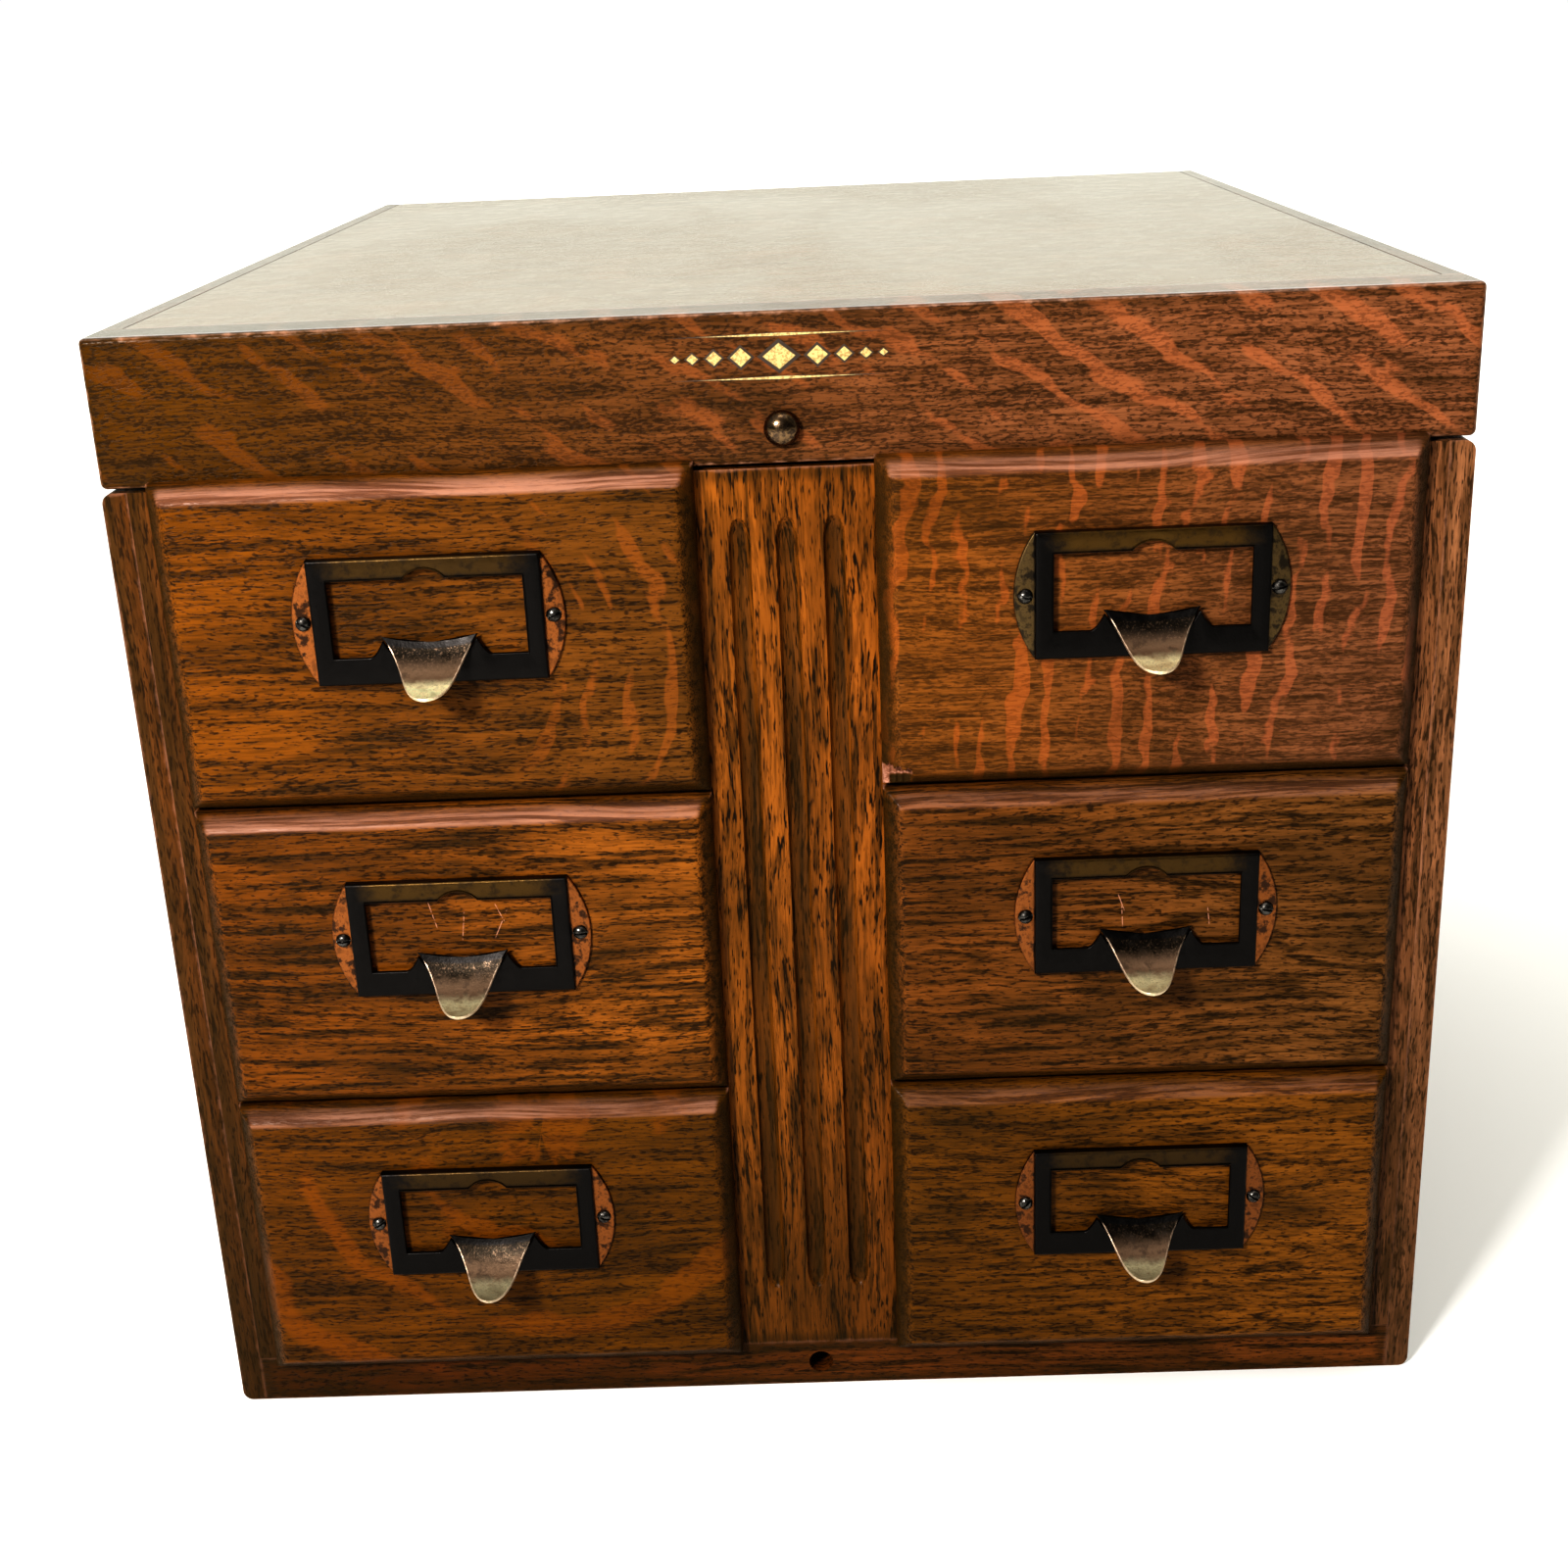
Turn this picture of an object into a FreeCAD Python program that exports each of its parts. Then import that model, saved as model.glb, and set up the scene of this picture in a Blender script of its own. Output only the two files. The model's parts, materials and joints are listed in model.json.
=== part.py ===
import FreeCAD, Part
import os
import re

import Sketcher
from FreeCAD import Placement, Rotation, Vector

# A six-drawer table-top card catalog cabinet for 3 x 5 inch (76 x 127 mm) cards.
# Row frame: millimetres, +X to the viewer's right, +Y to the back, +Z up.
# The origin is the centre of the base, on the surface that the cabinet stands on.

SIZES = {
    "case_width": 419.0,
    "case_depth": 482.6,
    "side_height": 333.0,
    "cap_gap": 1.0,
    "cap_height": 46.0,
    "cap_top_thickness": 14.0,
    "skin_thickness": 8.0,
    "carcass_thickness": 13.0,
    "frame_thickness": 19.0,
    "partition_thickness": 8.0,
    "shelf_thickness": 6.0,
    "back_thickness": 6.0,
    "stile_width": 67.0,
    "rail_height": 17.5,
    "skin_round": 3.5,
    "cap_round": 2.0,
    "arris": 0.6,
    "flute_width": 6.5,
    "flute_depth": 2.2,
    "flute_spacing": 14.6,
    "flute_bottom": 43.75,
    "flute_top": 313.5,
    "row_pitch": 107.0,
    "front_width": 167.0,
    "front_height": 105.5,
    "front_overlap": 1.0,
    "lip_thickness": 9.0,
    "bevel": 5.0,
    "tongue_depth": 10.0,
    "tongue_height": 94.0,
    "side_clearance": 1.0,
    "floor_clearance": 0.5,
    "drawer_side_thickness": 9.5,
    "drawer_side_height": 70.0,
    "drawer_length": 452.0,
    "drawer_floor_thickness": 6.0,
    "drawer_floor_rise": 4.0,
    "follower_depth": 46.0,
    "follower_tip_depth": 14.0,
    "follower_height": 66.0,
    "follower_clearance": 0.6,
    "pull_rise": 61.8,
    "pull_height": 40.0,
    "pull_width": 84.5,
    "pull_frame_width": 71.7,
    "pull_frame_rise": 3.0,
    "pull_sheet": 1.2,
    "lug_radius": 34.45,
    "window_width": 60.3,
    "window_low": 11.25,
    "window_high": 13.2,
    "arch_radius": 8.5,
    "arch_rise": 3.0,
    "card_margin": 2.6,
    "tongue_root_width": 29.0,
    "tongue_shoulder_width": 16.0,
    "tongue_shoulder_reach": 12.6,
    "tongue_tip_radius": 9.0,
    "tongue_reach": 20.5,
    "tongue_drop": 20.0,
    "tongue_curve": 22.8,
    "tongue_dish": 40.7,
    "tongue_centre_reach": 22.5,
    "tongue_centre_rise": 2.7,
    "hump_radius": 4.2,
    "screw_spacing": 77.5,
    "screw_head_radius": 2.4,
    "screw_shank_radius": 1.4,
    "screw_length": 7.0,
    "screw_slot": 0.7,
    "screw_hole_gap": 0.1,
    "knob_radius": 5.0,
    "knob_rise": 11.0,
    "pin_radius": 3.95,
    "pin_bore_radius": 4.25,
    "pin_engagement": 12.0,
    "keeper_width": 30.0,
    "keeper_height": 22.0,
    "keeper_thickness": 14.0,
    "keeper_setback": 1.0,
    "rail_hole_height": 9.0,
}

# Lengths that several pieces share, as formulas of the driving dimensions.
HALF_WIDTH = "case_width / 2"
FACE = "-case_depth / 2"
INNER_HALF = "(case_width / 2 - skin_thickness)"
CARCASS_HALF = "(case_width / 2 - skin_thickness - carcass_thickness)"
OPENING = "(case_width / 2 - skin_thickness - carcass_thickness - stile_width / 2)"
COLUMN_CENTRE = "(stile_width / 2 + " + OPENING + " / 2)"
BACK_INSIDE = "(case_depth / 2 - back_thickness)"
CAP_BOTTOM = "(side_height + cap_gap)"
CAP_INNER_HEIGHT = "(cap_height + cap_gap - cap_top_thickness)"
FRONT_BOTTOM = "(rail_height - front_overlap)"
BOX_HALF = "(" + OPENING + " / 2 - side_clearance)"
TRAY_HALF = "(" + BOX_HALF + " - drawer_side_thickness)"
BOX_BOTTOM = "(front_overlap + floor_clearance)"

COLUMNS = {"left": -1, "right": 1}
ROWS = {"lower": 0, "middle": 1, "upper": 2}

document = FreeCAD.newDocument("card_catalog_cabinet")
subparts = []


def make_sheet():
    """Put the driving dimensions in a spreadsheet, one named cell each."""
    sheet = document.addObject("Spreadsheet::Sheet", "Sizes")
    for line, (alias, size) in enumerate(SIZES.items(), start=1):
        sheet.set(f"A{line}", alias)
        sheet.set(f"B{line}", str(size))
        sheet.setAlias(f"B{line}", alias)
    document.recompute()


def from_sheet(formula):
    """Turn the plain names in a formula into references to the sheet's cells."""
    return re.sub(r"[a-z]+(?:_[a-z]+)*", lambda name: "Sizes." + name.group(0), formula)


def bind(piece, setting, formula):
    """Bind one property of a piece to a formula of the driving dimensions."""
    piece.setExpression(setting, from_sheet(formula))


def place(piece, x="0", y="0", z="0"):
    """Bind where a piece stands."""
    for axis, formula in (("x", x), ("y", y), ("z", z)):
        bind(piece, f"Placement.Base.{axis}", formula)


def keep(piece, label):
    """Name a finished sub-part and list it for writing."""
    piece.Label = label
    subparts.append(piece)
    return piece


def box(name, width, depth, height, x, y, z):
    """A square-edged board with its low corner at x, y, z."""
    piece = document.addObject("Part::Box", name)
    bind(piece, "Length", width)
    bind(piece, "Width", depth)
    bind(piece, "Height", height)
    place(piece, x, y, z)
    return piece


def cylinder(name, radius, length, x, y, z, turn=None):
    """A cylinder that starts at x, y, z; turn points its axis away from +Z."""
    piece = document.addObject("Part::Cylinder", name)
    bind(piece, "Radius", radius)
    bind(piece, "Height", length)
    if turn is not None:
        piece.Placement = Placement(Vector(0, 0, 0), turn)
    place(piece, x, y, z)
    return piece


ALONG_Y = Rotation(Vector(1, 0, 0), -90)
TOWARDS_FRONT = Rotation(Vector(1, 0, 0), 90)


def fuse(name, pieces):
    """Join solids into one."""
    joined = document.addObject("Part::MultiFuse", name)
    joined.Shapes = pieces
    joined.Refine = True
    return joined


def common(name, pieces):
    """Keep what several solids share."""
    shared = document.addObject("Part::MultiCommon", name)
    shared.Shapes = pieces
    return shared


def cut(name, base, tool):
    """Cut one solid out of another."""
    left = document.addObject("Part::Cut", name)
    left.Base = base
    left.Tool = tool
    return left


def group(name, pieces):
    """Hold separate solids in one sub-part."""
    held = document.addObject("Part::Compound", name)
    held.Links = pieces
    return held


def origin_plane(body, role):
    """The body's own origin plane with this role."""
    return next(item for item in body.Origin.OriginFeatures if item.Role == role)


def new_sketch(body, name, role, offset=None):
    """A sketch on one of the body's origin planes, moved along it by a bound offset."""
    sketch = body.newObject("Sketcher::SketchObject", name)
    sketch.AttachmentSupport = [(origin_plane(body, role), "")]
    sketch.MapMode = "FlatFace"
    if offset is not None:
        bind(sketch, "AttachmentOffset.Base.z", offset)
    return sketch


def draw_outline(sketch, corners):
    """Draw a closed outline whose corners are pairs of formulas."""
    count = len(corners)
    for index in range(count):
        start = Vector(index, index % 3, 0)
        end = Vector(index + 1, (index + 1) % 3, 0)
        sketch.addGeometry(Part.LineSegment(start, end))
    for index in range(count):
        following = (index + 1) % count
        sketch.addConstraint(Sketcher.Constraint("Coincident", index, 2, following, 1))
    for index, corner in enumerate(corners):
        for kind, formula in zip(("DistanceX", "DistanceY"), corner):
            number = sketch.addConstraint(Sketcher.Constraint(kind, -1, 1, index, 1, 0.0))
            bind(sketch, f"Constraints[{number}]", formula)


def draw_rectangle(sketch, low_x, low_y, high_x, high_y):
    """Draw a rectangle between two corners given as formulas."""
    corners = [(low_x, low_y), (high_x, low_y), (high_x, high_y), (low_x, high_y)]
    draw_outline(sketch, corners)


def pad(body, name, sketch, length, backwards=False):
    """Pad a sketch; backwards takes the side opposite the sketch's normal."""
    feature = body.newObject("PartDesign::Pad", name)
    feature.Profile = sketch
    bind(feature, "Length", length)
    feature.Reversed = backwards
    return feature


def pocket(body, name, sketch, depth, backwards=False):
    """Cut a pocket and make sure that it took some wood away."""
    document.recompute()
    before = body.Shape.Volume
    feature = body.newObject("PartDesign::Pocket", name)
    feature.Profile = sketch
    bind(feature, "Length", depth)
    feature.Reversed = backwards
    document.recompute()
    if body.Shape.Volume >= before:
        raise RuntimeError(f"{name} cuts nothing")
    return feature


def at(value, target):
    """True where a coordinate is at a target, to a thousandth of a millimetre."""
    return abs(value - target) < 0.001


def on(ends, axis, target):
    """True where both ends of an edge lie on the plane at a target along an axis."""
    return all(at(getattr(end, axis), target) for end in ends)


def edges_where(feature, test):
    """Names of the straight edges whose pair of ends passes a test."""
    names = []
    for number, edge in enumerate(feature.Shape.Edges, start=1):
        ends = [vertex.Point for vertex in edge.Vertexes]
        if len(ends) == 2 and test(ends):
            names.append(f"Edge{number}")
    return names


def ease(body, name, feature, test, radius, kind="Fillet"):
    """Round, or with kind Chamfer bevel, the edges of a feature that pass a test."""
    document.recompute()
    dressed = body.newObject(f"PartDesign::{kind}", name)
    dressed.Base = (feature, edges_where(feature, test))
    setting = "Radius" if kind == "Fillet" else "Size"
    bind(dressed, setting, radius)
    return dressed


def make_eased_board(label, width, depth, height, spot, test, radius):
    """A board in its own frame, low corner at its origin, with chosen edges rounded."""
    body = document.addObject("PartDesign::Body", label)
    sketch = new_sketch(body, f"{label}_outline", "XY_Plane")
    draw_rectangle(sketch, "0", "0", width, depth)
    solid = pad(body, f"{label}_board", sketch, height)
    ease(body, f"{label}_edges", solid, test, radius)
    place(body, *spot)
    return keep(body, label)


def make_side_panels():
    """The outer side panels, with their outer top and bottom edges well rounded."""
    spots = {"left": "-" + HALF_WIDTH, "right": INNER_HALF}
    outer = {"left": 0.0, "right": SIZES["skin_thickness"]}
    height = SIZES["side_height"]
    for side, spot in spots.items():
        make_eased_board(
            f"{side}_side_panel",
            "skin_thickness",
            "case_depth",
            "side_height",
            (spot, FACE, "0"),
            lambda ends, x=outer[side]: on(ends, "x", x) and (on(ends, "z", 0) or on(ends, "z", height)),
            "skin_round",
        )


def make_carcass():
    """The inner case: two sides, two partitions, the four shelves, the top and the back."""
    for side, spot in (("left", "-" + INNER_HALF), ("right", CARCASS_HALF)):
        height = "side_height - rail_height"
        keep(
            box(
                f"{side}_carcass_side_board",
                "carcass_thickness",
                "case_depth - back_thickness",
                height,
                spot,
                FACE,
                "rail_height",
            ),
            f"{side}_carcass_side",
        )
    depth = "case_depth - back_thickness - frame_thickness"
    partition_height = "side_height - rail_height - shelf_thickness"
    boards = []
    for side, spot in (("left", "-stile_width / 2"), ("right", "stile_width / 2 - partition_thickness")):
        boards.append(
            box(
                f"{side}_partition_board",
                "partition_thickness",
                depth,
                partition_height,
                spot,
                FACE + " + frame_thickness",
                "rail_height",
            )
        )
    keep(group("partition_boards", boards), "centre_partitions")
    make_shelves()
    make_case_top()
    keep(
        box(
            "back_board",
            "2 * " + INNER_HALF,
            "back_thickness",
            "side_height - rail_height",
            "-" + INNER_HALF,
            BACK_INSIDE,
            "rail_height",
        ),
        "back_panel",
    )


def make_shelves():
    """The two shelves of each column, on which the middle and upper drawers run."""
    shelves = []
    for side, start in (("left", "-" + CARCASS_HALF), ("right", "stile_width / 2")):
        for level in (1, 2):
            shelves.append(
                box(
                    f"{side}_shelf_board_{level}",
                    OPENING,
                    "case_depth - back_thickness",
                    "shelf_thickness",
                    start,
                    FACE,
                    f"rail_height + {level} * row_pitch - shelf_thickness",
                )
            )
    keep(group("shelf_boards", shelves), "drawer_shelves")


def make_case_top():
    """The board over the upper drawers, notched round the centre stile."""
    label = "case_top_panel"
    body = document.addObject("PartDesign::Body", label)
    sketch = new_sketch(body, "case_top_outline", "XY_Plane")
    half = "stile_width / 2"
    front, notch, back = FACE, FACE + " + frame_thickness", BACK_INSIDE
    draw_outline(
        sketch,
        [
            ("-" + CARCASS_HALF, front),
            ("-" + half, front),
            ("-" + half, notch),
            (half, notch),
            (half, front),
            (CARCASS_HALF, front),
            (CARCASS_HALF, back),
            ("-" + CARCASS_HALF, back),
        ],
    )
    pad(body, "case_top_board", sketch, "shelf_thickness")
    place(body, z="side_height - shelf_thickness")
    keep(body, label)


def make_centre_stile():
    """The wide upright between the drawers, with three stop flutes down its face."""
    label = "centre_stile"
    body = document.addObject("PartDesign::Body", label)
    outline = new_sketch(body, "stile_outline", "XY_Plane")
    draw_rectangle(outline, "-stile_width / 2", "0", "stile_width / 2", "frame_thickness")
    pad(body, "stile_board", outline, "side_height - rail_height")
    profile = new_sketch(body, "flute_profile", "XY_Plane", "flute_bottom - rail_height")
    profile.addGeometry(Part.Circle(Vector(-10, -1, 0), Vector(0, 0, 1), 3.0))
    radius_formula = "(flute_width ^ 2 / 4 + flute_depth ^ 2) / (2 * flute_depth)"
    radius = profile.addConstraint(Sketcher.Constraint("Radius", 0, 3.0))
    bind(profile, f"Constraints[{radius}]", radius_formula)
    centre_x = profile.addConstraint(Sketcher.Constraint("DistanceX", -1, 1, 0, 3, -10.0))
    bind(profile, f"Constraints[{centre_x}]", "-flute_spacing")
    centre_y = profile.addConstraint(Sketcher.Constraint("DistanceY", -1, 1, 0, 3, -1.0))
    bind(profile, f"Constraints[{centre_y}]", "flute_depth - " + radius_formula)
    flute = pocket(body, "left_flute", profile, "flute_top - flute_bottom", backwards=True)
    flutes = body.newObject("PartDesign::LinearPattern", "flutes")
    flutes.Originals = [flute]
    flutes.Direction = (profile, ["H_Axis"])
    bind(flutes, "Length", "2 * flute_spacing")
    flutes.Occurrences = 3
    body.Tip = flutes
    place(body, y=FACE, z="rail_height")
    keep(body, label)


def make_bottom():
    """The front rail, with the open hole for a locking pin, and the bottom board."""
    width = "2 * " + INNER_HALF
    start = "-" + INNER_HALF
    rail = box("rail_board", width, "frame_thickness", "rail_height", start, FACE, "0")
    hole = cylinder("rail_hole", "pin_bore_radius", "frame_thickness", "0", FACE, "rail_hole_height", ALONG_Y)
    keep(cut("bored_rail", rail, hole), "bottom_rail")
    board = box(
        "bottom_plank",
        width,
        "case_depth - frame_thickness",
        "rail_height",
        start,
        FACE + " + frame_thickness",
        "0",
    )
    keep(board, "bottom_board")


def make_cap():
    """The cap: a front fascia, two side rails and a back rail round an inset top panel."""
    top_edge = SIZES["cap_height"]
    right_edge = SIZES["case_width"]
    label = "cap_front_fascia"
    body = document.addObject("PartDesign::Body", label)
    outline = new_sketch(body, "fascia_outline", "XY_Plane")
    draw_rectangle(outline, "0", "0", "case_width", "frame_thickness")
    board = pad(body, "fascia_board", outline, "cap_height")

    def on_outer_edge(ends):
        faces = (("x", 0), ("x", right_edge), ("y", 0), ("z", 0), ("z", top_edge))
        return sum(on(ends, axis, face) for axis, face in faces) == 2

    ease(body, "fascia_rounds", board, on_outer_edge, "cap_round")
    bore = new_sketch(body, "pin_bore_circle", "XZ_Plane")
    bore.addGeometry(Part.Circle(Vector(200, 10, 0), Vector(0, 0, 1), 4.0))
    for kind, formula in (("DistanceX", HALF_WIDTH), ("DistanceY", "knob_rise")):
        number = bore.addConstraint(Sketcher.Constraint(kind, -1, 1, 0, 3, 10.0))
        bind(bore, f"Constraints[{number}]", formula)
    number = bore.addConstraint(Sketcher.Constraint("Radius", 0, 4.0))
    bind(bore, f"Constraints[{number}]", "pin_bore_radius")
    pocket(body, "pin_bore", bore, "frame_thickness")
    place(body, "-" + HALF_WIDTH, FACE, CAP_BOTTOM)
    keep(body, label)
    make_cap_side_rails()
    rail_half = "(case_width / 2 - frame_thickness)"
    keep(
        box(
            "cap_back_board",
            "2 * " + rail_half,
            "frame_thickness",
            CAP_INNER_HEIGHT,
            "-" + rail_half,
            "case_depth / 2 - frame_thickness",
            "side_height",
        ),
        "cap_back_rail",
    )
    top = SIZES["cap_top_thickness"]
    make_eased_board(
        "cap_top_panel",
        "2 * " + INNER_HALF,
        "case_depth - frame_thickness",
        "cap_top_thickness",
        ("-" + INNER_HALF, FACE + " + frame_thickness", "side_height + " + CAP_INNER_HEIGHT),
        lambda ends: on(ends, "z", top),
        "arris",
    )


def make_cap_side_rails():
    """The cap's side rails, rebated above for the top panel and stepped below onto the case."""
    joint = SIZES["frame_thickness"] - SIZES["case_depth"] / 2
    for side, sign in COLUMNS.items():
        label = f"cap_{side}_rail"
        body = document.addObject("PartDesign::Body", label)
        sketch = new_sketch(body, f"{label}_section", "XZ_Plane", "case_depth / 2 - frame_thickness")
        outside = HALF_WIDTH
        rebate = INNER_HALF
        inside = "(case_width / 2 - frame_thickness)"
        corners = [
            (outside, "0"),
            (outside, "cap_height"),
            (rebate, "cap_height"),
            (rebate, "cap_height - cap_top_thickness"),
            (inside, "cap_height - cap_top_thickness"),
            (inside, "-cap_gap"),
            (rebate, "-cap_gap"),
            (rebate, "0"),
        ]
        if sign < 0:
            corners = [("-" + across, up) for across, up in corners]
        draw_outline(sketch, corners)
        board = pad(body, f"{label}_board", sketch, "case_depth - frame_thickness", backwards=True)
        document.recompute()
        edge = sign * SIZES["case_width"] / 2
        ease(
            body,
            f"{label}_rounds",
            board,
            lambda ends, x=edge: on(ends, "x", x) and not on(ends, "y", joint),
            "cap_round",
        )
        place(body, z=CAP_BOTTOM)
        keep(body, label)



def make_locking_pin():
    """The domed pin through the fascia that locks the cap to the keeper on the case."""
    reach = "frame_thickness + keeper_setback + pin_engagement"
    shank = cylinder("pin_shank", "pin_radius", reach, "0", FACE, CAP_BOTTOM + " + knob_rise", ALONG_Y)
    dome = document.addObject("Part::Sphere", "pin_dome")
    dome.Angle1 = 0
    dome.Placement = Placement(Vector(0, 0, 0), TOWARDS_FRONT)
    bind(dome, "Radius", "knob_radius")
    place(dome, "0", FACE, CAP_BOTTOM + " + knob_rise")
    keep(fuse("pin_solid", [dome, shank]), "cap_locking_pin")
    keeper = box(
        "keeper_block",
        "keeper_width",
        "keeper_thickness",
        "keeper_height",
        "-keeper_width / 2",
        FACE + " + frame_thickness + keeper_setback",
        "side_height",
    )
    socket = cylinder(
        "keeper_socket",
        "pin_bore_radius",
        "keeper_thickness + keeper_setback",
        "0",
        FACE + " + frame_thickness",
        CAP_BOTTOM + " + knob_rise",
        ALONG_Y,
    )
    keep(cut("bored_keeper", keeper, socket), "pin_keeper")


def make_drawer_front(label, spot):
    """The lipped and bevelled drawer front, with the tongue that enters its opening."""
    body = document.addObject("PartDesign::Body", label)
    outline = new_sketch(body, f"{label}_outline", "XZ_Plane")
    draw_rectangle(outline, "-front_width / 2", "0", "front_width / 2", "front_height")
    lip = pad(body, f"{label}_lip", outline, "lip_thickness")
    face = -SIZES["lip_thickness"]
    bevels = ease(body, f"{label}_bevels", lip, lambda ends: on(ends, "y", face), "bevel", "Chamfer")
    flat = face + SIZES["bevel"]
    ease(body, f"{label}_arrises", bevels, lambda ends: on(ends, "y", face) or on(ends, "y", flat), "arris")
    inner = new_sketch(body, f"{label}_tongue_outline", "XZ_Plane")
    draw_rectangle(inner, "-" + BOX_HALF, BOX_BOTTOM, BOX_HALF, BOX_BOTTOM + " + tongue_height")
    document.recompute()
    tongue = pad(body, f"{label}_tongue", inner, "tongue_depth", backwards=True)
    body.Tip = tongue
    place(body, *spot)
    keep(body, label)


def make_drawer_box(name, x, z):
    """The tray behind a front: two sides, a back and a floor between them."""
    start = FACE + " + tongue_depth"
    bottom = f"{z} + {BOX_BOTTOM}"
    sides = []
    for side, spot in (("left", f"{x} - {BOX_HALF}"), ("right", f"{x} + {TRAY_HALF}")):
        sides.append(
            box(
                f"{name}_{side}_side",
                "drawer_side_thickness",
                "drawer_length",
                "drawer_side_height",
                spot,
                start,
                bottom,
            )
        )
    keep(group(f"{name}_side_pair", sides), f"{name}_sides")
    keep(
        box(
            f"{name}_back_board",
            "2 * " + TRAY_HALF,
            "drawer_side_thickness",
            "drawer_side_height",
            f"{x} - {TRAY_HALF}",
            start + " + drawer_length - drawer_side_thickness",
            bottom,
        ),
        f"{name}_back",
    )
    keep(
        box(
            f"{name}_floor",
            "2 * " + TRAY_HALF,
            "drawer_length - drawer_side_thickness",
            "drawer_floor_thickness",
            f"{x} - {TRAY_HALF}",
            start,
            bottom + " + drawer_floor_rise",
        ),
        f"{name}_bottom",
    )


def make_follower(name, x, z):
    """The sliding block that holds the cards upright, resting at the back of the tray."""
    label = f"{name}_follower"
    body = document.addObject("PartDesign::Body", label)
    sketch = new_sketch(body, f"{label}_profile", "YZ_Plane", "-" + TRAY_HALF + " + follower_clearance")
    top = "follower_height"
    draw_outline(
        sketch,
        [
            ("0", "0"),
            ("follower_depth", "0"),
            ("follower_depth", top),
            ("follower_depth - follower_tip_depth", top),
        ],
    )
    pad(body, f"{label}_block", sketch, f"2 * ({TRAY_HALF} - follower_clearance)")
    tray_end = FACE + " + tongue_depth + drawer_length - drawer_side_thickness"
    rear = tray_end + " - follower_depth - follower_clearance"
    floor_top = f"{z} + {BOX_BOTTOM} + drawer_floor_rise + drawer_floor_thickness + floor_clearance"
    place(body, x, rear, floor_top)
    keep(body, label)


def make_pull_plate(name, x, face, z):
    """The stamped plate: round-ended lugs, a raised frame, the window and the card pocket."""
    half_height = "pull_height / 2"
    lugs = []
    for side, sign in (("left", "-"), ("right", "")):
        centre = f"{x} + {sign}(pull_width / 2 - lug_radius)"
        front = f"{face} - pull_sheet"
        lugs.append(cylinder(f"{name}_{side}_lug", "lug_radius", "pull_sheet", centre, front, z, ALONG_Y))
    blank = box(
        f"{name}_blank",
        "pull_width",
        "pull_sheet",
        "pull_height",
        f"{x} - pull_width / 2",
        f"{face} - pull_sheet",
        f"{z} - {half_height}",
    )
    plate = common(f"{name}_plate", [fuse(f"{name}_lugs", lugs), blank])
    frame = box(
        f"{name}_frame",
        "pull_frame_width",
        "pull_frame_rise",
        "pull_height",
        f"{x} - pull_frame_width / 2",
        f"{face} - pull_frame_rise",
        f"{z} - {half_height}",
    )
    window = box(
        f"{name}_window",
        "window_width",
        "2 * pull_frame_rise",
        "window_low + window_high",
        f"{x} - window_width / 2",
        f"{face} - 1.5 * pull_frame_rise",
        f"{z} - window_low",
    )
    arch = cylinder(
        f"{name}_arch",
        "arch_radius",
        "2 * pull_frame_rise",
        x,
        f"{face} - 1.5 * pull_frame_rise",
        f"{z} + window_high + arch_rise - arch_radius",
        ALONG_Y,
    )
    screw_holes = [
        cylinder(
            f"{name}_{side}_hole",
            "screw_shank_radius + screw_hole_gap",
            "pull_sheet",
            f"{x} {sign} screw_spacing / 2",
            f"{face} - pull_sheet",
            z,
            ALONG_Y,
        )
        for side, sign in (("left", "-"), ("right", "+"))
    ]
    card_pocket = box(
        f"{name}_card_pocket",
        "window_width + 2 * card_margin",
        "pull_frame_rise - pull_sheet",
        "window_low + window_high + 2 * card_margin",
        f"{x} - window_width / 2 - card_margin",
        f"{face} - pull_frame_rise + pull_sheet",
        f"{z} - window_low - card_margin",
    )
    opened = cut(
        f"{name}_open_frame",
        fuse(f"{name}_raised_plate", [plate, frame]),
        fuse(f"{name}_openings", [window, arch, card_pocket] + screw_holes),
    )
    humps = []
    for side, sign in (("left", "-"), ("right", "+")):
        humps.append(
            cylinder(
                f"{name}_{side}_hump",
                "hump_radius",
                "pull_sheet",
                f"{x} {sign} tongue_root_width / 2",
                f"{face} - pull_frame_rise",
                f"{z} - window_low",
                ALONG_Y,
            )
        )
    return [opened] + humps


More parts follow.
